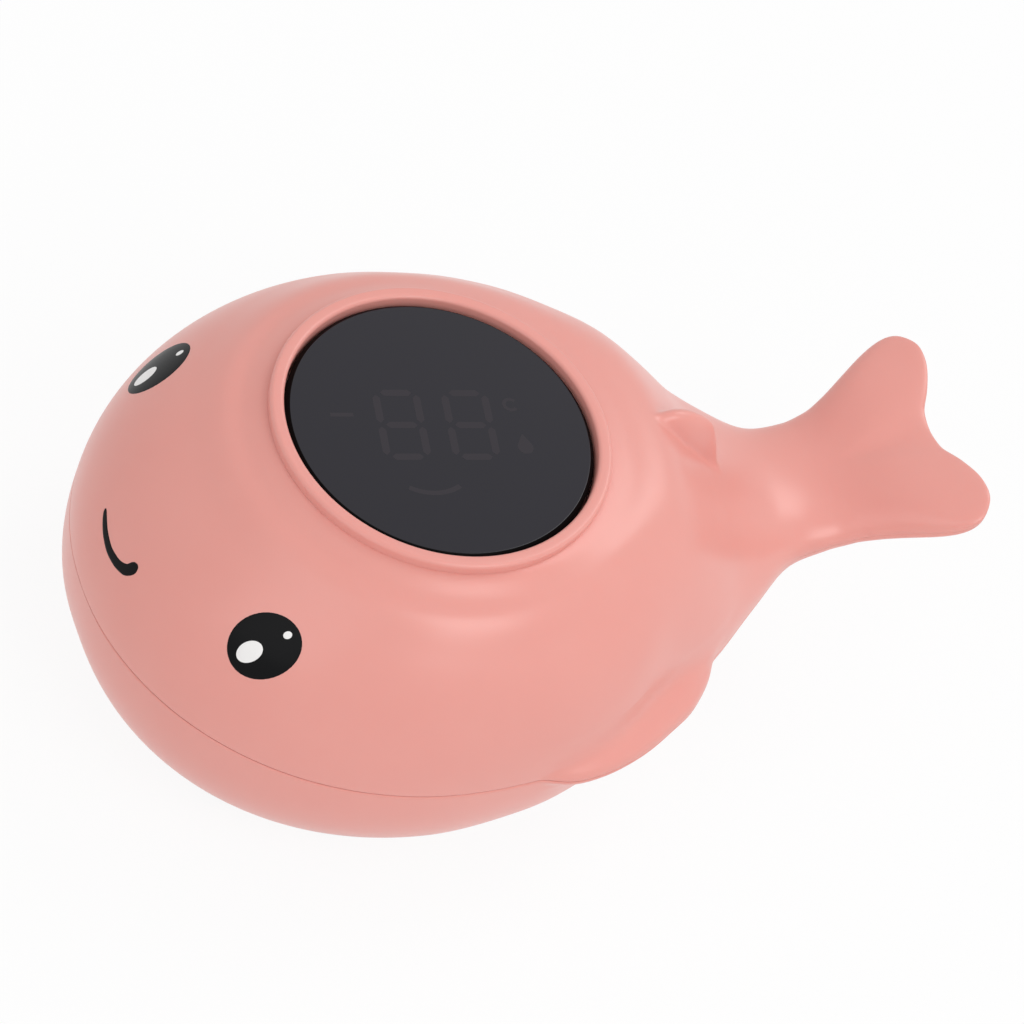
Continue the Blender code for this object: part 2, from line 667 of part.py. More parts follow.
def make_lower_shell(shade):
    shell = half_shell("lower_shell", -1, shade)
    for hand, word in ((-1, "left"), (1, "right")):
        shape_shell(shell, flipper_mesh(word + "_flipper_lower", -1, hand), "UNION")
    centre = (CELL_X, 0.0)
    outer = door_seat_radius() + WELL_WALL
    inner = well_radius() + WELL_WALL
    shoulder, roof = groove_top() + WELL_WALL, well_ceiling() + WELL_WALL
    step = [(0.0, 0.5 * WALL), (outer, 0.5 * WALL), (outer, shoulder), (inner, shoulder), (inner, roof),
            (0.0, roof)]
    shape_shell(shell, turned("cell_well", step, ROUND_STEPS, centre), "UNION")
    seat, groove, well = door_seat_radius(), seal_groove_radius(), well_radius()
    ledge = door_top() + SEAT_GAP
    bore = [(0.0, -EMBED), (seat, -EMBED), (seat, ledge), (groove, ledge), (groove, groove_top()),
            (well, groove_top()), (well, well_ceiling()), (0.0, well_ceiling())]
    shape_shell(shell, turned("cell_bore", bore, ROUND_STEPS, centre), "DIFFERENCE")
    for word, x in (("positive", positive_tab_x()), ("negative", negative_tab_x())):
        slot = block(word + "_slot", (x, 0.0, well_ceiling() + WELL_WALL / 2.0),
                     (CONTACT_THICKNESS + 2.0 * SEAT_GAP, CONTACT_WIDTH + 2.0 * SEAT_GAP, 2.0 * WELL_WALL))
        shape_shell(shell, slot, "DIFFERENCE")
    for number, (x, y) in enumerate(shell_screw_places(), 1):
        floor = float(lower_height(*outward(x, y, POST_RADIUS))) + 0.5 * WALL
        floor = max(floor, 0.5 * WALL)
        top = SEAM_HEIGHT - SEAM_GAP / 2.0
        post = disc(f"lower_post_{number}", POST_RADIUS, floor, top, SMALL_ROUND_STEPS, (x, y))
        shape_shell(shell, post, "UNION")
        wide = SCREW_HEAD_RADIUS + SCREW_WELL_CLEARANCE
        narrow = SCREW_RADIUS + SEAT_GAP
        steps = [(0.0, -EMBED), (wide, -EMBED), (wide, SCREW_LEDGE), (narrow, SCREW_LEDGE),
                 (narrow, top + EMBED), (0.0, top + EMBED)]
        shape_shell(shell, turned(f"screw_well_{number}", steps, SMALL_ROUND_STEPS, (x, y)), "DIFFERENCE")
    probe_hole = disc("probe_hole", PROBE_RADIUS + SEAT_GAP, -EMBED, 2.0 * WALL, SMALL_ROUND_STEPS,
                      (PROBE_X, 0.0))
    shape_shell(shell, probe_hole, "DIFFERENCE")
    for hand, word in ((-1, "left"), (1, "right")):
        hole = disc(word + "_contact_hole", WATER_CONTACT_RADIUS + SEAT_GAP, -EMBED, 2.0 * WALL,
                    SMALL_ROUND_STEPS, (WATER_CONTACT_X, hand * WATER_CONTACT_Y))
        shape_shell(shell, hole, "DIFFERENCE")
    below = block("belly_flat", (0.0, 0.0, -KEEL_DROP), (3.0 * TAIL_X, 4.0 * BEAM_HALF, 2.0 * KEEL_DROP))
    shape_shell(shell, below, "DIFFERENCE")
    edge = (WALL - SEAL_WIDTH) / 2.0 - SEAT_GAP
    low = -SEAM_GAP / 2.0 - SEAL_HEIGHT - SEAT_GAP
    shape_shell(shell, rim_band("seal_channel", edge, WALL - edge, low, EMBED), "DIFFERENCE")
    return shell


def make_shell_seal(shade):
    edge = (WALL - SEAL_WIDTH) / 2.0
    low = -SEAM_GAP / 2.0 - SEAL_HEIGHT
    new_object("shell_seal", rim_band("shell_seal", edge, WALL - edge, low, -SEAM_GAP / 2.0), shade)


def make_display(smoke, rubber, case_shade, diffuser):
    window = disc("display_window", WINDOW_RADIUS, DISPLAY_HEIGHT - WINDOW_THICKNESS, DISPLAY_HEIGHT,
                  DISPLAY_STEPS, bevel=WINDOW_BEVEL)
    new_object("display_window", window, smoke)
    low = seat_top() + SEAT_GAP
    inner = WINDOW_RADIUS + SEAT_GAP - SEAT_LIP
    gasket = ring("window_gasket", inner, WINDOW_RADIUS, low, low + GASKET_THICKNESS)
    new_object("window_gasket", gasket, rubber)

    top = case_top()
    size = (CASE_LENGTH, CASE_WIDTH, CASE_HEIGHT)
    case = block("display_case", (0.0, 0.0, top - CASE_HEIGHT / 2.0), size, DISPLAY_TURN)
    case = new_object("display_case", case, case_shade)
    depth = DIFFUSER_THICKNESS + SEGMENT_RISE + 2.0 * SEAT_GAP
    tray = (CASE_LENGTH - 2.0 * CASE_WALL, CASE_WIDTH - 2.0 * CASE_WALL, 2.0 * depth)
    apply_tool(case, block("case_tray", (0.0, 0.0, top), tray, DISPLAY_TURN), "DIFFERENCE")

    plate_top = top - SEGMENT_RISE - SEAT_GAP
    size = (tray[0] - 2.0 * SEAT_GAP, tray[1] - 2.0 * SEAT_GAP, DIFFUSER_THICKNESS)
    plate = block("segment_lens", (0.0, 0.0, plate_top - DIFFUSER_THICKNESS / 2.0), size, DISPLAY_TURN)
    plate = new_object("segment_lens", plate, diffuser)
    for number, (x, y, size_x, size_y) in enumerate(segment_boxes(), 1):
        cos, sin = math.cos(DISPLAY_TURN), math.sin(DISPLAY_TURN)
        place = (x * cos - y * sin, x * sin + y * cos, plate_top)
        bar = block(f"segment_{number}", place, (size_x, size_y, 2.0 * SEGMENT_RISE), DISPLAY_TURN)
        apply_tool(plate, bar, "UNION")


def segment_boxes():
    """The bars of two seven-segment digits: place and size of each."""
    boxes = []
    half_bar = DIGIT_HEIGHT / 2.0
    length = half_bar - 1.6 * SEGMENT_WIDTH
    for digit in (-1, 0):
        x = (digit + DIGIT_SHIFT) * DIGIT_PITCH
        for row in (-1, 0, 1):
            boxes.append((x, DIGIT_ROW_Y + row * half_bar, DIGIT_WIDTH - 1.6 * SEGMENT_WIDTH, SEGMENT_WIDTH))
        for side in (-1, 1):
            for row in (-1, 1):
                place = (x + side * DIGIT_WIDTH / 2.0, DIGIT_ROW_Y + row * half_bar / 2.0)
                boxes.append((*place, SEGMENT_WIDTH, length))
    return boxes


def make_board(green, chip_shade, steel):
    board = new_object("main_board", disc("main_board", BOARD_RADIUS, board_under(), board_top()), green)
    for number, place in enumerate(board_screw_places(), 1):
        hole = disc(f"board_hole_{number}", BOARD_SCREW_RADIUS + SEAT_GAP, board_under() - EMBED,
                    board_top() + EMBED, SMALL_ROUND_STEPS, place)
        apply_tool(board, hole, "DIFFERENCE")
        low = board_under() - SEAT_GAP
        outline = [(0.0, low - BOARD_SCREW_HEAD_HEIGHT), (BOARD_SCREW_HEAD, low - BOARD_SCREW_HEAD_HEIGHT),
                   (BOARD_SCREW_HEAD, low), (BOARD_SCREW_RADIUS, low),
                   (BOARD_SCREW_RADIUS, low + BOARD_SCREW_LENGTH), (0.0, low + BOARD_SCREW_LENGTH)]
        name = f"board_screw_{number}"
        new_object(name, turned(name, outline, SMALL_ROUND_STEPS, place), steel)
    level = board_under() - SEAT_GAP - CHIP_THICKNESS / 2.0
    size = (CHIP_SIZE, CHIP_SIZE, CHIP_THICKNESS)
    chip = block("controller_chip", (*CHIP_PLACE, level), size, DISPLAY_TURN)
    new_object("controller_chip", chip, chip_shade)


def positive_tab_x():
    return CELL_X + CELL_RADIUS + SEAT_GAP + CONTACT_THICKNESS / 2.0


def negative_tab_x():
    return CELL_X - CONTACT_LEAF / 2.0


def make_cell_and_door(pink, rubber, steel):
    centre = (CELL_X, 0.0)
    low, top = FOOT_CLEARANCE, door_top()
    spigot = well_radius() - DOOR_CLEARANCE
    outline = [(0.0, low), (DOOR_RADIUS - DOOR_CHAMFER, low), (DOOR_RADIUS, low + DOOR_CHAMFER),
               (DOOR_RADIUS, top), (spigot, top), (spigot, spigot_top()), (0.0, spigot_top())]
    door = new_object("battery_door", turned("battery_door", outline, ROUND_STEPS, centre), pink)
    size = (COIN_SLOT_LENGTH, COIN_SLOT_WIDTH, 2.0 * COIN_SLOT_DEPTH)
    apply_tool(door, block("coin_slot", (CELL_X, 0.0, low), size), "DIFFERENCE")

    radius = SEAL_CORD / 2.0
    middle = (well_radius() + seal_groove_radius()) / 2.0
    level = top + 1.5 * SEAT_GAP + radius
    cord = [(middle + radius * math.cos(a), level + radius * math.sin(a))
            for a in np.linspace(0.0, 2.0 * math.pi, 7)[:-1]]
    new_object("door_seal", turned("door_seal", cord, ROUND_STEPS, centre), rubber)

    base = cell_low()
    rim = CELL_RADIUS - CELL_STEP
    can = [(0.0, base), (CELL_RADIUS, base), (CELL_RADIUS, base + CELL_THICKNESS - CELL_STEP),
           (rim, base + CELL_THICKNESS), (0.0, base + CELL_THICKNESS)]
    new_object("coin_cell", turned("coin_cell", can, ROUND_STEPS, centre), steel)

    size = (CONTACT_THICKNESS, CONTACT_WIDTH, tab_top() - base - CELL_STEP)
    place = (positive_tab_x(), 0.0, (tab_top() + base + CELL_STEP) / 2.0)
    new_object("positive_contact", block("positive_contact", place, size), steel)
    level = contact_level() + CONTACT_THICKNESS / 2.0
    leaf = block("negative_contact", (CELL_X, 0.0, level),
                 (CONTACT_LEAF + CONTACT_THICKNESS, CONTACT_WIDTH, CONTACT_THICKNESS))
    leaf = new_object("negative_contact", leaf, steel)
    tab_height = tab_top() - contact_level()
    tab = block("negative_tab", (negative_tab_x(), 0.0, tab_top() - tab_height / 2.0),
                (CONTACT_THICKNESS, CONTACT_WIDTH, tab_height))
    apply_tool(leaf, tab, "UNION")


def make_sensors(rubber, steel, bead_shade):
    """The temperature probe and the two water contacts, through the belly near the head."""
    low = FOOT_CLEARANCE
    inner = PROBE_RADIUS - PROBE_WALL
    flange = WALL + SEAT_GAP + SEAL_SHEET + SEAT_GAP
    flange_top = flange + 1.5 * PROBE_WALL
    wide = PROBE_RADIUS + PROBE_FLANGE
    cap = [(0.0, low), (inner, low), (PROBE_RADIUS, low + PROBE_WALL), (PROBE_RADIUS, flange),
           (wide, flange), (wide, flange_top), (PROBE_RADIUS, flange_top), (PROBE_RADIUS, PROBE_HEIGHT),
           (inner, PROBE_HEIGHT), (inner, low + PROBE_WALL), (0.0, low + PROBE_WALL)]
    centre = (PROBE_X, 0.0)
    new_object("probe_cap", turned("probe_cap", cap, SMALL_ROUND_STEPS, centre), steel)
    seal_low = WALL + SEAT_GAP
    seal = ring("probe_seal", PROBE_RADIUS + SEAT_GAP, wide, seal_low, seal_low + SEAL_SHEET,
                SMALL_ROUND_STEPS, centre)
    new_object("probe_seal", seal, rubber)
    bead_low = low + PROBE_WALL + SEAT_GAP
    turn = np.linspace(-math.pi / 2.0, math.pi / 2.0, 7)
    bead = [(BEAD_RADIUS * math.cos(a), bead_low + BEAD_RADIUS * (1.0 + math.sin(a))) for a in turn]
    bead[0], bead[-1] = (0.0, bead_low), (0.0, bead_low + 2.0 * BEAD_RADIUS)
    new_object("thermistor", turned("thermistor", bead, SMALL_ROUND_STEPS, centre), bead_shade)
    for hand, word in ((-1, "left"), (1, "right")):
        place = (WATER_CONTACT_X, hand * WATER_CONTACT_Y)
        collar = WALL + SEAT_GAP
        pin = [(0.0, low), (WATER_CONTACT_RADIUS, low), (WATER_CONTACT_RADIUS, collar),
               (WATER_CONTACT_COLLAR, collar), (WATER_CONTACT_COLLAR, collar + SEAL_SHEET),
               (WATER_CONTACT_RADIUS, collar + SEAL_SHEET), (WATER_CONTACT_RADIUS, WATER_CONTACT_HEIGHT),
               (0.0, WATER_CONTACT_HEIGHT)]
        name = word + "_water_contact"
        new_object(name, turned(name, pin, SMALL_ROUND_STEPS, place), steel)


def make_shell_screws(steel):
    for number, place in enumerate(shell_screw_places(), 1):
        seat = SCREW_LEDGE - SEAT_GAP
        base = seat - SCREW_HEAD_HEIGHT
        outline = [(0.0, base), (SCREW_HEAD_RADIUS, base), (SCREW_HEAD_RADIUS, seat), (SCREW_RADIUS, seat),
                   (SCREW_RADIUS, seat + SCREW_LENGTH), (0.0, seat + SCREW_LENGTH)]
        name = f"shell_screw_{number}"
        screw = new_object(name, turned(name, outline, SMALL_ROUND_STEPS, place), steel)
        for turn, word in ((0.0, "a"), (math.pi / 2.0, "b")):
            cross = block(f"{name}_cross_{word}", (*place, base),
                          (1.4 * SCREW_HEAD_RADIUS, CROSS_WIDTH, SCREW_HEAD_HEIGHT), turn)
            apply_tool(screw, cross, "DIFFERENCE")


def smooth_route(points, count):
    """Evenly numbered places on a smooth curve through a cord's own points."""
    points = np.array(points)
    padded = np.concatenate([2.0 * points[:1] - points[1:2], points, 2.0 * points[-1:] - points[-2:-1]])
    route = []
    spans = len(points) - 1
    for step in range(count):
        place = step / (count - 1) * spans
        i = min(int(place), spans - 1)
        t = place - i
        a, b, c, d = padded[i:i + 4]
        route.append(0.5 * (2.0 * b + t * (c - a + t * (2.0 * a - 5.0 * b + 4.0 * c - d
                                                        + t * (3.0 * b - a - 3.0 * c + d)))))
    return route


def make_lead(name, points, shade):
    """An insulated wire along a smooth route."""
    curve = bpy.data.curves.new(name, "CURVE")
    curve.dimensions = "3D"
    curve.bevel_depth = LEAD_RADIUS
    curve.bevel_resolution = 2
    curve.use_fill_caps = True
    route = smooth_route(points, LEAD_STEPS)
    spline = curve.splines.new("POLY")
    spline.points.add(len(route) - 1)
    for target, place in zip(spline.points, route):
        target.co = (*place, 1.0)
    curve.materials.append(shade)
    lead = bpy.data.objects.new(name, curve)
    bpy.context.scene.collection.objects.link(lead)
    lead.location.x = DISPLAY_X


def make_leads(red, black, grey):
    top = board_under() - SEAT_GAP
    rise = 6.0 * MM
    tab = tab_top() + SEAT_GAP
    for name, x, foot, shade in (("battery_lead_red", positive_tab_x(), RED_LEAD_END, red),
                                 ("battery_lead_black", negative_tab_x(), BLACK_LEAD_END, black)):
        make_lead(name, [(x, 0.0, tab), (x, 0.0, tab + rise), (*foot, top - rise), (*foot, top)], shade)
    bead = FOOT_CLEARANCE + PROBE_WALL + SEAT_GAP + 2.0 * BEAD_RADIUS + SEAT_GAP
    make_lead("thermistor_lead", [(PROBE_X, 0.0, bead), (PROBE_X, 0.0, PROBE_HEIGHT + rise),
                                  (*SENSOR_LEAD_END, top - rise), (*SENSOR_LEAD_END, top)], grey)
    for hand, word in ((-1, "left"), (1, "right")):
        place = (WATER_CONTACT_X, hand * WATER_CONTACT_Y)
        foot = (CONTACT_LEAD_END[0], hand * CONTACT_LEAD_END[1])
        low = WATER_CONTACT_HEIGHT + SEAT_GAP
        route = [(*place, low), (*place, low + rise), (*foot, top - rise), (*foot, top)]
        make_lead(word + "_contact_lead", route, grey)


def surface_normal(x, y):
    """The direction that the upper surface faces."""
    step = 0.05 * MM
    slope_x = (upper_height(x + step, y) - upper_height(x - step, y)) / (2.0 * step)
    slope_y = (upper_height(x, y + step) - upper_height(x, y - step)) / (2.0 * step)
    normal = np.stack([-slope_x, -slope_y, np.ones_like(slope_x)], -1)
    return normal / np.linalg.norm(normal, axis=-1, keepdims=True)


def lifted(x, y, distance):
    """Points at a distance outside the upper surface."""
    x, y = np.asarray(x, dtype=float), np.asarray(y, dtype=float)
    ground = np.stack([x, y, upper_height(x, y)], -1)
    return ground + distance * surface_normal(x, y)


def front_x(y, z):
    """Where the head's upper surface lies ahead of a point of its side view."""
    near, far = HEAD_X * np.ones_like(z), np.full_like(z, BEAM_X)
    for _ in range(40):
        middle = 0.5 * (near + far)
        below = upper_height(middle, y) < z
        near = np.where(below, middle, near)
        far = np.where(below, far, middle)
    return 0.5 * (near + far)


def make_oval_print(name, centre, mirror, radii, lift, shade, steps=EYE_STEPS, rings=EYE_RINGS):
    """An oval printed on the head: its long way rises towards the tail.

    mirror is 1 on the left side and -1 on the right one.
    """
    x, y = centre
    normal = surface_normal(np.array(x), np.array(y))
    along = np.array(EYE_LONG_WAY)
    along = along - normal * np.dot(along, normal)
    along = along / np.linalg.norm(along)
    across = np.cross(normal, along)
    turn = np.linspace(0.0, 2.0 * math.pi, steps + 1)[None, :]
    ring_share = np.linspace(0.0, 1.0, rings)[:, None]
    u = radii[0] * ring_share * np.cos(turn)
    v = radii[1] * ring_share * np.sin(turn)
    xs = x + u * along[0] + v * across[0]
    ys = y + u * along[1] + v * across[1]
    low, high = lifted(xs, ys, lift), lifted(xs, ys, lift + PRINT_THICKNESS)
    low[:, -1], high[:, -1] = low[:, 0], high[:, 0]
    for grid in (low, high):
        grid[..., 1] *= mirror
    new_object(name, mesh_from_grids(name, [low, high, np.stack([low[-1], high[-1]])]), shade)


def make_smile(shade):
    """The smile: a shallow arc of even stroke across the front of the head."""
    share = np.linspace(-1.0, 1.0, SMILE_STEPS)
    y = SMILE_HALF_WIDTH * share
    z = SMILE_LEVEL + SMILE_DIP * share ** 2
    tangent = np.stack([np.gradient(y), np.gradient(z)], -1)
    tangent /= np.linalg.norm(tangent, axis=-1, keepdims=True)
    grids = []
    for lift in (PRINT_GAP, PRINT_GAP + PRINT_THICKNESS):
        edges = []
        for side in (-1.0, 0.0, 1.0):
            edge_y = y - side * SMILE_STROKE * tangent[:, 1]
            edge_z = z + side * SMILE_STROKE * tangent[:, 0]
            edges.append(lifted(front_x(edge_y, edge_z), edge_y, lift))
        grids.append(np.stack(edges, 1))
    low, high = grids
    walls = [np.stack([low[:, 0], high[:, 0]]), np.stack([low[:, -1], high[:, -1]]),
             np.stack([low[0], high[0]]), np.stack([low[-1], high[-1]])]
    new_object("smile", mesh_from_grids("smile", [low, high] + walls), shade)


def make_face(ink, white):
    lift = PRINT_GAP + PRINT_THICKNESS + PRINT_GAP
    for mirror, word in ((1, "left"), (-1, "right")):
        name = word + "_eye"
        make_oval_print(name, EYE_CENTRE, mirror, EYE_RADII, PRINT_GAP, ink)
        for size, centre, radii in (("large", GLINT_LARGE_CENTRE, GLINT_LARGE_RADII),
                                    ("small", GLINT_SMALL_CENTRE, GLINT_SMALL_RADII)):
            make_oval_print(f"{name}_glint_{size}", centre, mirror, radii, lift, white, GLINT_STEPS, 2)
    make_smile(ink)


def main():
    for obj in list(bpy.data.objects):
        bpy.data.objects.remove(obj, do_unlink=True)
    pink = material("coral_plastic", PINK, 0.42)
    rubber = material("seal_rubber", (0.05, 0.05, 0.05), 0.7)
    steel = material("stainless_steel", (0.62, 0.62, 0.62), 0.3, 1.0)
    ink = material("black_ink", BLACK, 0.25)
    make_upper_shell(pink)
    make_lower_shell(pink)
    make_shell_seal(rubber)
    make_display(material("smoked_acrylic", BLACK, 0.06), rubber, material("case_plastic", BLACK, 0.5),
                 material("light_guide", WHITE, 0.35))
    make_board(material("circuit_board", (0.02, 0.16, 0.06), 0.5), material("chip_resin", BLACK, 0.5), steel)
    make_cell_and_door(pink, rubber, steel)
    make_sensors(rubber, steel, material("bead_epoxy", BLACK, 0.35))
    make_shell_screws(steel)
    make_leads(material("red_insulation", (0.5, 0.02, 0.02), 0.5), material("black_insulation", BLACK, 0.5),
               material("grey_insulation", (0.3, 0.3, 0.3), 0.5))
    make_face(ink, material("white_ink", WHITE, 0.3))


main()
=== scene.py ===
"""The looks of a floating baby bath thermometer in the form of a whale.

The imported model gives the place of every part. The moulded shells, the display window, the printed face
and everything that shows from below are made here again with smooth surfaces, and each part gets the
finish of its real material. Sizes are in millimetres, measured from the display's axis, and are turned
to metres when a mesh is made.
"""

import logging
import math
from dataclasses import dataclass, field
from enum import Enum
from typing import Iterable, Optional, Sequence, Union

import bmesh
import bpy
import numpy as np
from mathutils import Matrix, Vector


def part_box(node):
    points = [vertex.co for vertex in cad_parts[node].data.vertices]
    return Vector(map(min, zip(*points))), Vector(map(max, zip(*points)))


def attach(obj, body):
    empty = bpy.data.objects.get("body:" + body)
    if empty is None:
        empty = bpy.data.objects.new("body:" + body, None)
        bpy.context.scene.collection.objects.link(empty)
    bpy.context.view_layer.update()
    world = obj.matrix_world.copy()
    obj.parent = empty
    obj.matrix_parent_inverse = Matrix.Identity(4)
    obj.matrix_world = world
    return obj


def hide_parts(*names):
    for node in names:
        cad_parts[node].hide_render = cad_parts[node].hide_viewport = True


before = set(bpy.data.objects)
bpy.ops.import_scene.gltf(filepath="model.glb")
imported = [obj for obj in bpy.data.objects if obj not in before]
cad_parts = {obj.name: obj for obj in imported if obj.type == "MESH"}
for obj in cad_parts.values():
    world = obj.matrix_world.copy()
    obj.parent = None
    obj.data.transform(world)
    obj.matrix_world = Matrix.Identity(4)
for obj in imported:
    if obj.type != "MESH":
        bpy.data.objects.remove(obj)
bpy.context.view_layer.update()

MM = 0.001
CREASE_DEGREES = 38.0
LOG = logging.getLogger("bath_thermometer")

Point = tuple[float, float, float]
Socket = Union[float, Sequence[float], bpy.types.NodeSocket]


class Side(Enum):
    """The two halves of the body."""

    UPPER = 1
    LOWER = -1


class Hand(Enum):
    """The two sides of the body."""

    LEFT = -1
    RIGHT = 1


def linear(hex_colour: str) -> tuple[float, float, float, float]:
    """Turn an sRGB colour into the linear one that a shader takes.

    Args:
        hex_colour: the colour as "#RRGGBB".

    Returns:
        The linear red, green, blue and an alpha of 1.
    """
    parts = [int(hex_colour[i:i + 2], 16) / 255.0 for i in (1, 3, 5)]
    values = [p / 12.92 if p <= 0.04045 else ((p + 0.055) / 1.055) ** 2.4 for p in parts]
    return (*values, 1.0)


def direction(azimuth: float, elevation: float) -> Vector:
    """Give the way to a place that is seen at an azimuth and an elevation, in degrees."""
    turn, rise = math.radians(azimuth), math.radians(elevation)
    return Vector((math.cos(rise) * math.cos(turn), math.cos(rise) * math.sin(turn), math.sin(rise)))


def linked(name: str, data: bpy.types.ID) -> bpy.types.Object:
    """Make an object from its data and put it into the scene."""
    obj = bpy.data.objects.new(name, data)
    bpy.context.scene.collection.objects.link(obj)
    return obj


def add_node(tree: bpy.types.NodeTree, kind: str,
             inputs: Optional[dict[Union[str, int], Socket]] = None,
             **settings: object) -> bpy.types.Node:
    """Add one node to a material or world.

    Args:
        tree: the node tree.
        kind: the node's type name.
        inputs: for each input's name or number, a value or the output that feeds it.
        **settings: the node's own properties.

    Returns:
        The new node.
    """
    node = tree.nodes.new(kind)
    for name, value in settings.items():
        setattr(node, name, value)
    for socket, value in (inputs or {}).items():
        if isinstance(value, bpy.types.NodeSocket):
            tree.links.new(value, node.inputs[socket])
        else:
            node.inputs[socket].default_value = value
    return node


# Finishes

CLOUD_RANGE = (0.3, 0.7)
SPECK_CUT = 0.93
SKIN_RADII = (1.0, 0.45, 0.35)


@dataclass(frozen=True)
class Finish:
    """What a surface is made of: its colour, its gloss and the marks that its making leaves.

    Every finish has a slight cloudiness of colour and gloss and a fine relief, both sized in millimetres.
    """

    name: str
    slot: str
    colour: str
    shade: str
    roughness: float
    roughness_spread: float = 0.04
    metallic: float = 0.0
    ior: float = 1.5
    cloud_mm: float = 12.0
    grain_mm: float = 0.35
    relief_mm: float = 0.002
    stretch: Point = (1.0, 1.0, 1.0)
    subsurface: float = 0.0
    subsurface_mm: float = 1.0
    speck_colour: str = ""
    speck_mm: float = 3.0
    speck_size: float = 0.035
    specular: float = 0.5

    def material(self) -> bpy.types.Material:
        """Build the material.

        Returns:
            The new material, all of it from nodes.
        """
        made = bpy.data.materials.new(self.name)
        made.use_nodes = True
        tree = made.node_tree
        shader = tree.nodes["Principled BSDF"]
        place = add_node(tree, "ShaderNodeTexCoord").outputs["Object"]
        stretched = add_node(tree, "ShaderNodeMapping", {"Vector": place, "Scale": self.stretch})
        cloud = add_node(tree, "ShaderNodeTexNoise", {
            "Vector": place, "Scale": 1.0 / (self.cloud_mm * MM), "Detail": 3.0, "Roughness": 0.55})
        grain = add_node(tree, "ShaderNodeTexNoise", {
            "Vector": stretched.outputs["Vector"], "Scale": 1.0 / (self.grain_mm * MM), "Detail": 2.0})
        colour = add_node(tree, "ShaderNodeMix", {
            0: cloud.outputs["Fac"], 6: linear(self.colour), 7: linear(self.shade)}, data_type="RGBA")
        painted = colour.outputs[2]
        if self.speck_colour:
            cells = add_node(tree, "ShaderNodeTexVoronoi", {
                "Vector": place, "Scale": 1.0 / (self.speck_mm * MM), "Randomness": 1.0})
            small = add_node(tree, "ShaderNodeMapRange", {
                "Value": cells.outputs["Distance"], "From Min": self.speck_size * 0.6,
                "From Max": self.speck_size, "To Min": 1.0, "To Max": 0.0})
            few = add_node(tree, "ShaderNodeMath", {
                0: add_node(tree, "ShaderNodeSeparateColor", {0: cells.outputs["Color"]}).outputs[0],
                1: SPECK_CUT}, operation="GREATER_THAN")
            share = add_node(tree, "ShaderNodeMath", {
                0: small.outputs["Result"], 1: few.outputs[0]}, operation="MULTIPLY")
            painted = add_node(tree, "ShaderNodeMix", {
                0: share.outputs[0], 6: painted, 7: linear(self.speck_colour)},
                data_type="RGBA").outputs[2]
        gloss = add_node(tree, "ShaderNodeMapRange", {
            "Value": cloud.outputs["Fac"], "From Min": CLOUD_RANGE[0], "From Max": CLOUD_RANGE[1],
            "To Min": self.roughness - self.roughness_spread,
            "To Max": self.roughness + self.roughness_spread})
        relief = add_node(tree, "ShaderNodeBump", {
            "Height": grain.outputs["Fac"], "Distance": self.relief_mm * MM, "Strength": 1.0})
        tree.links.new(painted, shader.inputs["Base Color"])
        tree.links.new(gloss.outputs["Result"], shader.inputs["Roughness"])
        tree.links.new(relief.outputs["Normal"], shader.inputs["Normal"])
        shader.inputs["Metallic"].default_value = self.metallic
        if not self.metallic:
            shader.inputs["IOR"].default_value = self.ior
        if self.subsurface:
            shader.inputs["Subsurface Weight"].default_value = self.subsurface
            shader.inputs["Subsurface Radius"].default_value = SKIN_RADII
            shader.inputs["Subsurface Scale"].default_value = self.subsurface_mm * MM
        shader.inputs["Specular IOR Level"].default_value = self.specular
        return made


# ABS with a coral colour all through, from a finely blasted mould: satin, with soft broad highlights, a
# trace of light passing under the skin and a rare dark speck of regrind.
CORAL_ABS = Finish("moulded_coral_abs", "coral_plastic", "#E99F95", "#E6998F", 0.3,
                   roughness_spread=0.015, ior=1.53, grain_mm=0.22, relief_mm=0.0022,
                   subsurface=0.12, subsurface_mm=1.2,
                   speck_colour="#8A3F3A", speck_mm=9.0, speck_size=0.022)
# Cast acrylic, smoked so dark that only its polish shows: a clean mirror of 3 per cent over black.
SMOKED_ACRYLIC = Finish("polished_smoked_acrylic", "smoked_acrylic", "#110D1C", "#0E0B18", 0.05,
                        roughness_spread=0.015, ior=1.44, cloud_mm=18.0, grain_mm=2.5, relief_mm=0.0002,
                        speck_colour="#3A3A3C", speck_mm=4.0, speck_size=0.02)
# The same sheet's bevel, made matt black with little gloss as a painted dark reflection: it sends little
# light back, so the window has a dark rim.
PAINTED_DARK_EDGE = Finish("painted_dark_window_edge", "smoked_acrylic", "#0B0A0B", "#080808", 0.5, ior=1.46,
                     cloud_mm=4.0, grain_mm=0.3, relief_mm=0.001, specular=0.06)
# The unlit light guide behind the smoke: a shade lighter than the window, with the same polish.
UNLIT_SEGMENT = Finish("unlit_segment_behind_smoke", "light_guide", "#231C26", "#201A23", 0.05,
                       roughness_spread=0.015, ior=1.44, cloud_mm=6.0, grain_mm=2.5, relief_mm=0.0002)
# Pad printed two-part ink, cured glossy: an even, slightly pillowed film.
BLACK_INK = Finish("pad_printed_black_ink", "black_ink", "#0A0A0C", "#0C0C0E", 0.24,
                   roughness_spread=0.02, ior=1.5, cloud_mm=3.0, grain_mm=0.3, relief_mm=0.0012, specular=0.1)
WHITE_INK = Finish("pad_printed_white_ink", "white_ink", "#F4F2F1", "#EFEDEC", 0.22, ior=1.5,
                   cloud_mm=2.0, grain_mm=0.2, relief_mm=0.001)
# Deep drawn and tumbled stainless steel: fine turning marks, a soft grey mirror.
DRAWN_STEEL = Finish("drawn_stainless_steel", "stainless_steel", "#C9C9C7", "#BDBDBC", 0.24,
                     roughness_spread=0.02, metallic=1.0, cloud_mm=4.0, grain_mm=0.12,
                     relief_mm=0.001, stretch=(1.0, 1.0, 0.15))
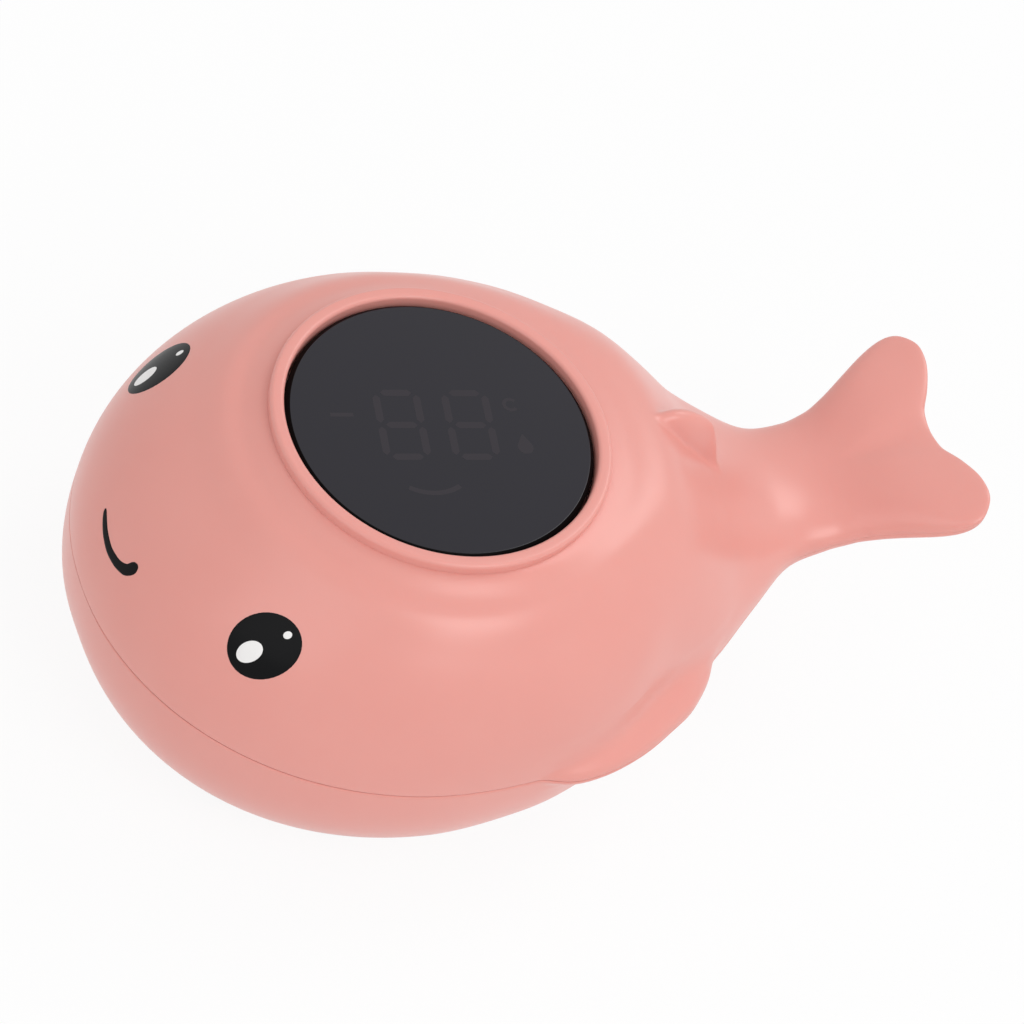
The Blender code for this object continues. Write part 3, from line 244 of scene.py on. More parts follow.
# Bright nickel over the cell's steel can.
NICKEL_PLATE = Finish("nickel_plated_can", "cell_can", "#CFCBC4", "#C4C0B8", 0.2, metallic=1.0,
                      cloud_mm=6.0, grain_mm=0.15, relief_mm=0.0008)
# Silicone sheet and cord: dull black with a faint bloom.
SEAL_RUBBER = Finish("moulded_black_silicone", "seal_rubber", "#242424", "#2B2B2B", 0.62, ior=1.41,
                     cloud_mm=5.0, grain_mm=0.2, relief_mm=0.003)
# Black ABS from a spark eroded mould: a coarse matt grain.
CASE_ABS = Finish("moulded_black_abs", "case_plastic", "#1C1C1D", "#202021", 0.48, ior=1.53,
                  grain_mm=0.25, relief_mm=0.006)
# Milky polycarbonate that spreads the light of the segments.
MILKY_GUIDE = Finish("milky_polycarbonate", "light_guide", "#EDEDEB", "#E6E6E3", 0.32,
                     roughness_spread=0.03, ior=1.58, cloud_mm=4.0, grain_mm=0.3, relief_mm=0.001,
                     subsurface=0.4, subsurface_mm=1.5)
# Glass fibre board under green solder mask: the weave of the cloth shows as a fine relief.
SOLDER_MASK = Finish("green_solder_mask", "circuit_board", "#1B6B3A", "#175F33", 0.38, ior=1.5,
                     cloud_mm=7.0, grain_mm=0.6, relief_mm=0.006)
# Epoxy moulded round a chip or a thermistor bead: dull and even.
CHIP_EPOXY = Finish("moulded_black_epoxy", "chip_resin", "#1A1A1B", "#1F1F20", 0.55, ior=1.55,
                    cloud_mm=2.0, grain_mm=0.1, relief_mm=0.002)
# Extruded PVC insulation: smooth along the wire.
def pvc(word: str, colour: str, shade: str) -> Finish:
    """Give the finish of one wire's insulation."""
    return Finish(f"{word}_pvc_insulation", f"{word}_insulation", colour, shade, 0.4, ior=1.53,
                  cloud_mm=6.0, grain_mm=0.3, relief_mm=0.001, stretch=(1.0, 1.0, 0.2))


RED_PVC = pvc("red", "#B5261F", "#AB221C")
BLACK_PVC = pvc("black", "#1A1A1A", "#202020")
GREY_PVC = pvc("grey", "#9A9A9A", "#929292")


# Mesh making


def display_axis() -> float:
    """Give the place of the display's axis along the body, in metres."""
    low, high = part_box("display_window")
    return 0.5 * (low.x + high.x)


def new_mesh_object(name: str, points: np.ndarray, faces: Iterable[Sequence[int]],
                    crease_degrees: float = CREASE_DEGREES) -> bpy.types.Object:
    """Make a smooth-shaded object from points and faces.

    Args:
        name: the object's name.
        points: the points, in millimetres from the display's axis.
        faces: each face's point numbers.
        crease_degrees: edges sharper than this stay sharp.

    Returns:
        The new object, with its mesh in metres.
    """
    mesh = bpy.data.meshes.new(name)
    placed = np.asarray(points, dtype=float) * MM
    placed = placed + np.array([display_axis(), 0.0, 0.0])
    mesh.from_pydata(placed.tolist(), [], [list(f) for f in faces])
    shape = bmesh.new()
    shape.from_mesh(mesh)
    bmesh.ops.remove_doubles(shape, verts=shape.verts, dist=1e-8)
    bmesh.ops.dissolve_degenerate(shape, edges=shape.edges, dist=1e-9)
    bmesh.ops.recalc_face_normals(shape, faces=shape.faces)
    shape.to_mesh(mesh)
    shape.free()
    obj = linked(name, mesh)
    shade_smooth(obj, crease_degrees)
    return obj


def shade_smooth(obj: bpy.types.Object, crease_degrees: float = CREASE_DEGREES) -> None:
    """Shade an object smooth, with its sharp edges kept.

    Args:
        obj: the object.
        crease_degrees: edges sharper than this stay sharp.
    """
    for polygon in obj.data.polygons:
        polygon.use_smooth = True
    obj.data.set_sharp_from_angle(angle=math.radians(crease_degrees))


def net_faces(numbers: np.ndarray) -> list[tuple[int, ...]]:
    """List the four point numbers of each face of a net, from its rows of point numbers."""
    loops = np.stack([numbers[:-1, :-1], numbers[1:, :-1], numbers[1:, 1:], numbers[:-1, 1:]], -1)
    return [tuple(int(n) for n in loop) for loop in loops.reshape(-1, 4)]


def grid_faces(rows: int, columns: int) -> list[tuple[int, ...]]:
    """List the faces of a grid whose points are numbered row by row."""
    return net_faces(np.arange(rows * columns).reshape(rows, columns))


def rounded_outline(corners: Sequence[tuple[float, float, float]],
                    steps: int = 6) -> list[tuple[float, float]]:
    """Round the corners of a closed outline.

    Args:
        corners: radius from the axis, height, and rounding of each corner.
        steps: number of lines in each rounded corner.

    Returns:
        The points of the outline.
    """
    outline = []
    count = len(corners)
    for i, (r, z, rounding) in enumerate(corners):
        here = np.array([r, z])
        if rounding <= 0.0:
            outline.append((r, z))
            continue
        before = np.array(corners[i - 1][:2]) - here
        after = np.array(corners[(i + 1) % count][:2]) - here
        before, after = before / np.linalg.norm(before), after / np.linalg.norm(after)
        half = 0.5 * math.acos(max(-1.0, min(1.0, float(np.dot(before, after)))))
        reach = rounding / math.tan(half)
        middle = here + (before + after) / np.linalg.norm(before + after) * rounding / math.sin(half)
        start, end = here + before * reach - middle, here + after * reach - middle
        turn = math.pi - 2.0 * half
        for step in range(steps + 1):
            t = step / steps
            a, b = math.sin((1.0 - t) * turn), math.sin(t * turn)
            outline.append(tuple(middle + (a * start + b * end) / math.sin(turn)))
    return outline


def turned_object(name: str, outline: Sequence[tuple[float, float]],
                  centre: tuple[float, float] = (0.0, 0.0), steps: int = 96,
                  crease_degrees: float = CREASE_DEGREES) -> bpy.types.Object:
    """Make a turned solid about a vertical axis.

    Args:
        name: the object's name.
        outline: the closed outline, as radius and height.
        centre: the axis' place.
        steps: number of facets round the axis.
        crease_degrees: edges sharper than this stay sharp.

    Returns:
        The new object.
    """
    closed = np.array(list(outline) + [outline[0]])
    angles = np.linspace(0.0, 2.0 * math.pi, steps + 1)[:, None]
    x = centre[0] + closed[None, :, 0] * np.cos(angles)
    y = centre[1] + closed[None, :, 0] * np.sin(angles)
    z = closed[None, :, 1] + 0.0 * angles
    points = np.stack([x, y, z], -1)
    return new_mesh_object(name, points.reshape(-1, 3), grid_faces(steps + 1, len(closed)), crease_degrees)


def box_object(name: str, centre: Point, size: Point, turn: float = 0.0) -> bpy.types.Object:
    """Make a box, which is only used to cut other pieces.

    Args:
        name: the object's name.
        centre: its middle.
        size: its length, width and height.
        turn: its turn about the vertical, in radians.

    Returns:
        The new object.
    """
    mesh = bpy.data.meshes.new(name)
    shape = bmesh.new()
    bmesh.ops.create_cube(shape, size=1.0)
    bmesh.ops.scale(shape, vec=Vector(size) * MM, verts=shape.verts)
    place = Vector(centre) * MM + Vector((display_axis(), 0.0, 0.0))
    bmesh.ops.transform(shape, matrix=Matrix.Translation(place) @ Matrix.Rotation(turn, 4, "Z"),
                        verts=shape.verts)
    shape.to_mesh(mesh)
    shape.free()
    return linked(name, mesh)


def cut_away(obj: bpy.types.Object, cutters: Sequence[bpy.types.Object], solver: str = "MANIFOLD") -> None:
    """Cut solids out of an object and remove them.

    Args:
        obj: the object to cut.
        cutters: the solids to take away.
        solver: the Boolean solver.
    """
    for cutter in cutters:
        modifier = obj.modifiers.new(cutter.name, "BOOLEAN")
        modifier.operation = "DIFFERENCE"
        modifier.solver = solver
        modifier.object = cutter
    graph = bpy.context.evaluated_depsgraph_get()
    graph.update()
    mesh = bpy.data.meshes.new_from_object(obj.evaluated_get(graph))
    obj.modifiers.clear()
    old = obj.data
    obj.data = mesh
    mesh.name = obj.name
    bpy.data.meshes.remove(old)
    for cutter in cutters:
        bpy.data.objects.remove(cutter, do_unlink=True)
    shade_smooth(obj)


def dress(obj: bpy.types.Object, finish: Finish, material: bpy.types.Material,
          replaces: Sequence[str] = ()) -> bpy.types.Object:
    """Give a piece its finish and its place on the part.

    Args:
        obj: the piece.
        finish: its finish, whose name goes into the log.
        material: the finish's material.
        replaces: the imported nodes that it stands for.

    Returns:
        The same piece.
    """
    obj.data.materials.clear()
    obj.data.materials.append(material)
    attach(obj, "root")
    if replaces:
        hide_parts(*replaces)
    LOG.info("%s: %d faces, %s", obj.name, len(obj.data.polygons), finish.name)
    return obj


# The whale's form

HALVINGS = 44


class SmoothCurve:
    """A curve through a few places that keeps their rises and falls, slightly evened out."""

    def __init__(self, places: Sequence[float], values: Sequence[float], blur: float,
                 mirrored: bool = True) -> None:
        """Prepare the curve.

        Args:
            places: the places along the body.
            values: the value at each place.
            blur: how far it is evened out, in the same measure as the places.
            mirrored: whether it starts at its greatest value, or is level before its first place.
        """
        xs, ys = np.array(places, dtype=float), np.array(values, dtype=float)
        widths = np.diff(xs)
        slopes = np.diff(ys) / widths
        tangents = np.zeros_like(xs)
        for i in range(1, len(xs) - 1):
            before, after = slopes[i - 1], slopes[i]
            if before * after > 0.0:
                near = 2.0 * widths[i] + widths[i - 1]
                far = widths[i] + 2.0 * widths[i - 1]
                tangents[i] = (near + far) / (near / before + far / after)
        tangents[-1] = slopes[-1]
        step = blur / 12.0
        reach = 4.0 * blur
        table = np.arange(xs[0] - 2.0 * reach, xs[-1] + 2.0 * reach + step, step)
        before_start = 2.0 * xs[0] - table if mirrored else np.full_like(table, xs[0])
        folded = np.where(table < xs[0], before_start, table)
        inside = np.clip(folded, xs[0], xs[-1])
        i = np.clip(np.searchsorted(xs, inside) - 1, 0, len(xs) - 2)
        width = xs[i + 1] - xs[i]
        t = (inside - xs[i]) / width
        rise = ys[i + 1] - ys[i]
        start, end = tangents[i] * width, tangents[i + 1] * width
        bend = 3.0 * rise - 2.0 * start - end
        exact = ys[i] + t * (start + t * (bend + t * (start + end - 2.0 * rise)))
        exact = exact + (folded - inside) * tangents[-1]
        offsets = np.arange(-reach, reach + step, step)
        kernel = np.exp(-0.5 * (offsets / blur) ** 2)
        kernel = kernel / kernel.sum()
        self.table = table
        self.values = np.convolve(exact, kernel, mode="same")
        edge = (table < xs[0] - reach) | (table > xs[-1] + reach)
        self.values[edge] = exact[edge]

    def __call__(self, x: np.ndarray) -> np.ndarray:
        """Give the curve's value at each place."""
        return np.interp(x, self.table, self.values)


def dome(share: np.ndarray, power: float) -> np.ndarray:
    """Give a rounded form's height for a share of the way from its top to its edge.

    Args:
        share: 0 at the top and 1 at the edge.
        power: 2 for an ellipse, more for a fuller form.

    Returns:
        The height as a share of the greatest one.
    """
    share = np.clip(share, 0.0, 1.0)
    return np.maximum(1.0 - share ** power, 0.0) ** (1.0 / power)


def smooth_step(share: np.ndarray) -> np.ndarray:
    """Ease from 0 to 1 as the share goes from 0 to 1."""
    share = np.clip(share, 0.0, 1.0)
    return share * share * (3.0 - 2.0 * share)


def blurred(points: np.ndarray, sigma: float, axis: int, mirror_z: bool) -> np.ndarray:
    """Even out a grid of points along one axis.

    Args:
        points: rows, columns and x, y, height above the seam.
        sigma: how many points it is evened out over.
        axis: 0 along the body, 1 round it.
        mirror_z: whether the form goes on below the seam as its mirror image.

    Returns:
        The evened out grid.
    """
    reach = int(math.ceil(3.0 * sigma))
    pad = [(0, 0), (0, 0), (0, 0)]
    pad[axis] = (reach, reach)
    padded = np.pad(points, pad, mode="reflect")
    if mirror_z:
        padded[:, :reach, 2] *= -1.0
        padded[:, -reach:, 2] *= -1.0
    kernel = np.exp(-0.5 * (np.arange(-reach, reach + 1) / sigma) ** 2)
    kernel = kernel / kernel.sum()
    total = np.zeros_like(points)
    count = points.shape[axis]
    for number, weight in enumerate(kernel):
        total += weight * np.take(padded, range(number, number + count), axis=axis)
    return total


@dataclass(frozen=True)
class WhaleForm:
    """The outer surface of the body: sections along the whale, and what stands proud of them."""

    head_x: float = -42.1
    beam_x: float = -0.6
    beam_half: float = 38.0
    outline_power: float = 2.05
    seam_height: float = 21.0
    display_height: float = 47.35
    crown_rise: float = 30.5
    crown_power: float = 1.87
    keel_drop: float = 26.0
    keel_x: float = -2.6
    keel_power: float = 2.43
    upper_power: float = 2.26
    lower_power: float = 2.57
    ring_radius: float = 22.4
    collar_drop: float = 0.6
    flare_slope: float = 0.35
    flare_width: float = 9.0
    rear_slope_less: float = 0.2
    shoulder_slope: float = 0.12
    shoulder_round: float = 1.2
    shoulder_start: float = 0.15
    shoulder_width: float = 0.8
    rear_trough_less: float = 0.7
    trough_depth: float = 0.55
    trough_place: float = 2.8
    trough_width: float = 1.7
    flipper_start: float = 5.0
    flipper_end: float = 39.5
    flipper_reach: float = 4.8
    flipper_half_thickness: float = 4.0
    flipper_root: float = 3.0
    flipper_thin: float = 0.35
    fin_start: float = 30.6
    fin_end: float = 43.4
    fin_height: float = 5.9
    fin_half_thickness: float = 2.2
    embed: float = 1.0
    section_x: tuple[float, ...] = (10.04, 18.99, 28.02, 37.98, 48.02, 55.97, 61.99, 67.01, 77.2)
    half_widths: tuple[float, ...] = (37.2, 34.5, 28.6, 23.4, 15.7, 10.3, 10.1)
    crowns: tuple[float, ...] = (29.5, 28.3, 26.4, 18.1, 7.9, 4.6, 3.7, 3.5, 2.2)
    keels: tuple[float, ...] = (22.8, 19.4, 15.5, 11.3, 6.9, 4.2, 3.4, 2.7, 2.0)
    # The flukes' outline: its reach from their root, by the turn in degrees away from straight back.
    fluke_root: float = 60.5
    fluke_turn: tuple[float, ...] = (0.0, 10.0, 20.0, 30.0, 37.0, 43.0, 47.0, 51.0, 56.0, 63.0, 73.0)
    fluke_reach: tuple[float, ...] = (15.5, 16.0, 18.4, 21.3, 22.7, 22.9, 22.1, 19.7, 16.1, 13.0, 11.0)
    fluke_fullness: float = 0.3
    fluke_valley: float = 0.22
    fluke_valley_turn: float = 13.0
    climb_x: tuple[float, ...] = (41.0, 46.0, 54.0, 62.0, 70.0, 78.0, 86.0)
    climbs: tuple[float, ...] = (0.0, 1.5, 2.7, 4.9, 10.2, 15.1, 21.2)
    curves: dict[str, SmoothCurve] = field(default_factory=dict)

    def __post_init__(self) -> None:
        """Prepare the curves along the body."""
        rear = self.section_x
        self.curves["width"] = SmoothCurve((self.beam_x, *rear[:len(self.half_widths)]),
                                           (self.beam_half, *self.half_widths), 1.6)
        self.curves["crown"] = SmoothCurve((0.0, *rear), (self.crown_rise, *self.crowns), 1.8)
        self.curves["keel"] = SmoothCurve((self.keel_x, *rear), (self.keel_drop, *self.keels), 1.8)
        turns, reaches = self.fluke_turn, self.fluke_reach
        root = float(self.half_width(np.array(self.fluke_root)))
        self.curves["fluke"] = SmoothCurve((*turns, 90.0, 110.0), (*reaches, root, root), 1.6)
        self.curves["climb"] = SmoothCurve(self.climb_x, self.climbs, 1.6, False)
        self.curves["bulge"] = SmoothCurve((0.0, 0.24, 0.45, 0.65, 0.785, 0.88, 0.94, 1.0),
                                           (0.0, 0.52, 0.76, 1.0, 0.95, 0.72, 0.48, 0.0), 0.012, False)
        self.curves["fin_rise"] = SmoothCurve((0.0, 0.304, 0.532, 0.76, 0.88, 1.0),
                                              (0.0, 0.54, 0.85, 1.0, 0.72, 0.25), 0.012, False)
        self.curves["fin_width"] = SmoothCurve((0.0, 0.45, 1.0), (0.45, 1.0, 0.55), 0.012, False)

    def front_and_rear(self, x: np.ndarray, peak_x: float, power: float, rear: SmoothCurve) -> np.ndarray:
        """Give a size of the body: a rounded front up to peak_x, then the curve to the tail.

        Args:
            x: the places along the body.
            peak_x: where the size is greatest.
            power: the fullness of the rounded front.
            rear: the curve behind peak_x.

        Returns:
            The size at each place.
        """
        front = rear(np.array(peak_x)) * dome((peak_x - x) / (peak_x - self.head_x), power)
        return np.where(x < peak_x, front, np.maximum(rear(x), 0.2))

    def half_width(self, x: np.ndarray) -> np.ndarray:
        """Give the body's half width."""
        return self.front_and_rear(x, self.beam_x, self.outline_power, self.curves["width"])

    def depth(self, x: np.ndarray, side: Side) -> np.ndarray:
        """Give the height of the upper half or the depth of the lower one, from the seam."""
        if side is Side.UPPER:
            return self.front_and_rear(x, 0.0, self.crown_power, self.curves["crown"])
        return self.front_and_rear(x, self.keel_x, self.keel_power, self.curves["keel"])

    def seam(self, x: np.ndarray) -> np.ndarray:
        """Give the seam's height."""
        return self.seam_height + self.curves["climb"](x)

    def flared(self, x: np.ndarray, y: np.ndarray, z: np.ndarray) -> np.ndarray:
        """Lead the upper surface to the display's ring through a shallow trough.

        Args:
            x: places along the body.
            y: places across it.
            z: the plain body's height there.

        Returns:
            The finished height.
        """
        radius = np.hypot(x, y)
        reach = np.maximum(radius - self.ring_radius, 0.0)
        rear = smooth_step((x / np.maximum(radius, 1.0) + self.shoulder_start) / self.shoulder_width)
        foot = self.display_height - self.collar_drop
        shoulder = foot - self.shoulder_slope * reach
        lowered = 0.5 * (z + shoulder - np.sqrt((z - shoulder) ** 2 + self.shoulder_round ** 2))
        z = z + rear * (lowered - z)
        collar = foot - (self.flare_slope - self.rear_slope_less * rear) * reach
        share = smooth_step(reach / self.flare_width)
        trough = self.trough_depth * np.exp(-((reach - self.trough_place) / self.trough_width) ** 2)
        return collar * (1.0 - share) + z * share - trough * (1.0 - self.rear_trough_less * rear)

    def upper_height(self, x: np.ndarray, y: np.ndarray) -> np.ndarray:
        """Give the height of the upper surface, without the fin and the flippers."""
        share = np.clip(np.abs(y) / self.half_width(x), 0.0, 1.0)
        return self.flared(x, y, self.seam(x) + self.depth(x, Side.UPPER) * dome(share, self.upper_power))

    def normal(self, x: np.ndarray, y: np.ndarray) -> np.ndarray:
        """Give the direction that the upper surface faces."""
        step = 0.05
        slope_x = (self.upper_height(x + step, y) - self.upper_height(x - step, y)) / (2.0 * step)
        slope_y = (self.upper_height(x, y + step) - self.upper_height(x, y - step)) / (2.0 * step)
        normal = np.stack([-slope_x, -slope_y, np.ones_like(slope_x)], -1)
        return normal / np.linalg.norm(normal, axis=-1, keepdims=True)

    def lifted(self, x: np.ndarray, y: np.ndarray, distance: np.ndarray) -> np.ndarray:
        """Give points at a distance outside the upper surface."""
        ground = np.stack([x, y, self.upper_height(x, y)], -1)
        return ground + np.asarray(distance)[..., None] * self.normal(x, y)

    def front_x(self, y: np.ndarray, z: np.ndarray) -> np.ndarray:
        """Find where the head's surface lies for a place and height in its front view."""
        near, far = np.full_like(z, self.head_x), np.full_like(z, self.beam_x)
        for _ in range(HALVINGS):
            middle = 0.5 * (near + far)
            below = self.upper_height(middle, y) < z
            near = np.where(below, middle, near)
            far = np.where(below, far, middle)
        return 0.5 * (near + far)


@dataclass
class ShellHalf:
    """One moulded half of the body, as a dense smooth skin closed at the seam."""

    form: WhaleForm
    side: Side
    head_rows: int = 104
    body_step: float = 0.6
    fin_step: float = 0.36
    fluke_rays: int = 92
    middle_columns: int = 34
    flank_columns: int = 56
    rim_columns: int = 40
    middle_reach: float = 6.5
    rim_arc: float = 10.0
    gap: float = 0.07
    lips: tuple[tuple[float, float], ...] = ((0.05, 0.17), (0.15, 0.07))
    tail_groove_less: float = 0.8
    belly_soft: float = 0.5
    pocket_depth: float = 2.9
    pocket_wall: float = 0.9
    body_blur: tuple[float, float] = (2.6, 1.3)
    crease_blur: tuple[float, float] = (5.5, 2.0)
    crease_rise: float = 1.2
    crease_width: float = 1.6
    valley_start: float = 0.15
    valley_width: float = 0.6
    fin_blur: tuple[float, float] = (1.6, 1.3)

    def rows(self) -> np.ndarray:
        """Give the places of the sections, from the nose to the root of the flukes."""
        form = self.form
        turn = np.linspace(0.0, math.pi / 2.0, self.head_rows)
        head = form.beam_x - (form.beam_x - form.head_x) * np.cos(turn)
        marks = [form.beam_x, form.fin_start - 2.0, form.fin_end + 2.0, form.fluke_root]
        fin_step = self.fin_step if self.side is Side.UPPER else self.body_step
        steps = [self.body_step, fin_step, self.body_step]
        places = [head]
        for start, end, step in zip(marks, marks[1:], steps):
            places.append(np.linspace(start, end, int(round((end - start) / step)) + 1)[1:])
        return np.concatenate(places)

    def flukes(self, root: np.ndarray) -> np.ndarray:
        """Fan the section at the tail's root out into the two flukes.

        Args:
            root: the skin's last row, from the left edge to the right edge.

        Returns:
            A row for each ray, turned from straight across to straight back on both sides.
        """
        form = self.form
        fine = np.linspace(90.0, 0.0, 1200)
        reach = form.curves["fluke"](fine)
        edge = np.stack([reach * np.cos(np.radians(fine)), reach * np.sin(np.radians(fine))], -1)
        arc = np.concatenate([[0.0], np.cumsum(np.linalg.norm(np.diff(edge, axis=0), axis=1))])
        turn = np.interp(np.linspace(0.0, arc[-1], self.fluke_rays + 1)[1:], arc, fine)[:, None]
        reach = form.curves["fluke"](turn)
        share = np.abs(root[:, 1]) / root[-1, 1]
        top = root[:, 2].max()
        height = np.clip(root[:, 2] / top, 0.0, 1.0)
        x = form.fluke_root + reach * share * np.cos(np.radians(turn))
        y = np.sign(root[:, 1]) * reach * share * np.sin(np.radians(turn))
        lobe = np.sin(np.radians(2.0 * turn)) ** 2
        rise = form.depth(x, self.side) * height ** (1.0 - form.fluke_fullness * lobe)
        rise *= top / form.depth(np.array(form.fluke_root), self.side)
        valley = form.fluke_valley * np.exp(-(turn / form.fluke_valley_turn) ** 2)
        valley = valley * smooth_step((share - self.valley_start) / self.valley_width)
        return np.stack([x, y, rise * (1.0 - valley)], -1)

    def plain_section(self, x: float) -> tuple[np.ndarray, np.ndarray]:
        """Give the body's own section from its middle to its edge.

        Args:
            x: the section's place.

        Returns:
            The half breadths and the heights from the seam.
        """
        form = self.form
        power = form.upper_power if self.side is Side.UPPER else form.lower_power
        turn = np.linspace(0.0, math.pi / 2.0, 900)
        y = form.half_width(np.array(x)) * np.sin(turn) ** (2.0 / power)
        rise = form.depth(np.array(x), self.side) * np.cos(turn) ** (2.0 / power)
        if self.side is Side.LOWER:
            floor = form.seam(np.array(x))
            soft = self.belly_soft
            lack = np.maximum(soft - np.abs(floor - rise), 0.0) / soft
            return y, np.minimum(rise, floor) - lack * lack * soft * 0.25
        base = form.seam(np.array(x))
        rise = np.maximum(form.flared(x + 0.0 * y, y, base + rise) - base, 0.0)
        inside = np.hypot(x, y)
        pocket = smooth_step((form.ring_radius - self.pocket_wall - inside) / self.pocket_wall)
        return y, rise - self.pocket_depth * pocket

    def with_flipper(self, x: float, y: np.ndarray, rise: np.ndarray) -> tuple[np.ndarray, np.ndarray]:
        """Lead a section out round the flipper where there is one."""
        form = self.form
        share = (x - form.flipper_start) / (form.flipper_end - form.flipper_start)
        if not 0.0 < share < 1.0:
            return y, rise
        bulge = float(form.curves["bulge"](np.array(share)))
        half = float(form.half_width(np.array(x)))
        reach = half - form.embed * (1.0 - bulge) + form.flipper_reach * bulge
        if reach <= half:
            return y, rise
        thick = form.flipper_half_thickness * (form.flipper_thin + (1.0 - form.flipper_thin) * bulge)
        root = half - form.flipper_root
        turn = np.linspace(0.0, math.pi / 2.0, 500)
        out = root + (reach - root) * np.sin(turn)
        up = thick * np.cos(turn)
        body_out = np.interp(up, rise[::-1][:450], y[::-1][:450])
        outside = np.nonzero(out > body_out)[0]
        if len(outside) == 0:
            return y, rise
        first = outside[0]
        keep = (rise > up[first]) | (y < root)
        return np.concatenate([y[keep], out[first:]]), np.concatenate([rise[keep], up[first:]])

    def with_fin(self, x: float, y: np.ndarray, rise: np.ndarray) -> tuple[np.ndarray, np.ndarray]:
        """Lead a section up over the back fin where there is one."""
        form = self.form
        share = (x - form.fin_start) / (form.fin_end - form.fin_start)
        if self.side is Side.LOWER or not 0.0 < share < 1.0:
            return y, rise
        ground = rise[0] - form.embed
        height = form.fin_height * float(form.curves["fin_rise"](np.array(share)))
        thick = form.fin_half_thickness * float(form.curves["fin_width"](np.array(share)))
        turn = np.linspace(0.0, math.pi / 2.0, 400)
        out = thick * np.sin(turn)
        up = ground + (height + form.embed) * np.cos(turn)
        body_up = np.interp(out, y, rise)
        inside = np.nonzero(up < body_up)[0]
        if len(inside) == 0 or inside[0] < 2:
            return y, rise
        last = inside[0]
        keep = y > out[last]
        return np.concatenate([out[:last], y[keep]]), np.concatenate([up[:last], rise[keep]])

    def section(self, x: float) -> np.ndarray:
        """Give one half section as evenly spread points from the middle to the edge.

        Args:
            x: the section's place.

        Returns:
            Half breadth and height from the seam of each column.
        """
        y, rise = self.plain_section(x)
        y, rise = self.with_flipper(x, y, rise)
        y, rise = self.with_fin(x, y, rise)
        arc = np.concatenate([[0.0], np.cumsum(np.hypot(np.diff(y), np.diff(rise)))])
        whole = arc[-1]
        middle = float(np.interp(min(self.middle_reach, 0.35 * y.max()), np.maximum.accumulate(y), arc))
        rim = whole - min(self.rim_arc, 0.4 * (whole - middle))
        lip = whole - min(0.3, 0.05 * (whole - rim))
        middle_count = self.middle_columns if self.side is Side.UPPER else self.middle_columns // 3
        places = np.concatenate([
            np.linspace(0.0, middle, middle_count + 1)[:-1],
            np.linspace(middle, rim, self.flank_columns + 1)[:-1],
            np.linspace(rim, lip, self.rim_columns),
            [whole]])
        return np.stack([np.interp(places, arc, y), np.interp(places, arc, rise)], -1)

    @staticmethod
    def evened(grid: np.ndarray, blur: tuple[float, float]) -> np.ndarray:
        """Even out the skin round the body and along it, over a number of points each way."""
        return blurred(blurred(grid, blur[0], 1, True), blur[1], 0, False)

    def skin(self) -> np.ndarray:
        """Give the whole skin from the left edge to the right edge.

        Returns:
            Rows, columns and x, y, height from the seam, before the seam's climb is added.
        """
        form = self.form
        xs = self.rows()
        half = np.stack([self.section(float(x)) for x in xs])
        half[0] = 0.0
        y = np.concatenate([-half[:, :0:-1, 0], half[:, :, 0]], 1)
        rise = np.concatenate([half[:, :0:-1, 1], half[:, :, 1]], 1)
        x = np.repeat(xs[:, None], y.shape[1], 1)
        grid = np.stack([x, y, rise], -1)
        fine, wide = self.evened(grid, self.body_blur), self.evened(grid, self.crease_blur)
        crease = smooth_step((rise - self.crease_rise) / self.crease_width)
        soft = fine + crease[..., None] * (wide - fine)
        flipper = smooth_step((x - 6.0) / 6.0) * smooth_step((42.5 - x) / 2.5)
        edge = form.half_width(x) - np.abs(y)
        flipper *= smooth_step((6.5 - edge) / 2.0) * smooth_step((7.5 - rise) / 2.0)
        near_fin = smooth_step((x - 28.0) / 1.5) * smooth_step((46.0 - x) / 1.5)
        near_fin *= smooth_step((6.0 - np.abs(y)) / 1.5)
        if self.side is Side.UPPER:
            grid = grid + near_fin[..., None] * (self.evened(grid, self.fin_blur) - grid)
        grid = grid + flipper[..., None] * (soft - grid)
        return np.concatenate([grid, self.flukes(grid[-1])])

    def fluke_inside(self, rim: np.ndarray) -> np.ndarray:
        """Give the points that close the flukes along the climbing seam.

        Args:
            rim: the right edge's points, from the flukes' root to the notch between them.

        Returns:
            For each point of the edge, a row of points between the left edge and the right one.
        """
        form = self.form
        share = np.linspace(-1.0, 1.0, 9)[None, 1:-1]
        x = form.fluke_root + (rim[:, :1] - form.fluke_root) * np.abs(share)
        height = rim[:, 2:] - form.seam(rim[:, :1])
        return np.stack([x, rim[:, 1:2] * share, form.seam(x) + height], -1)

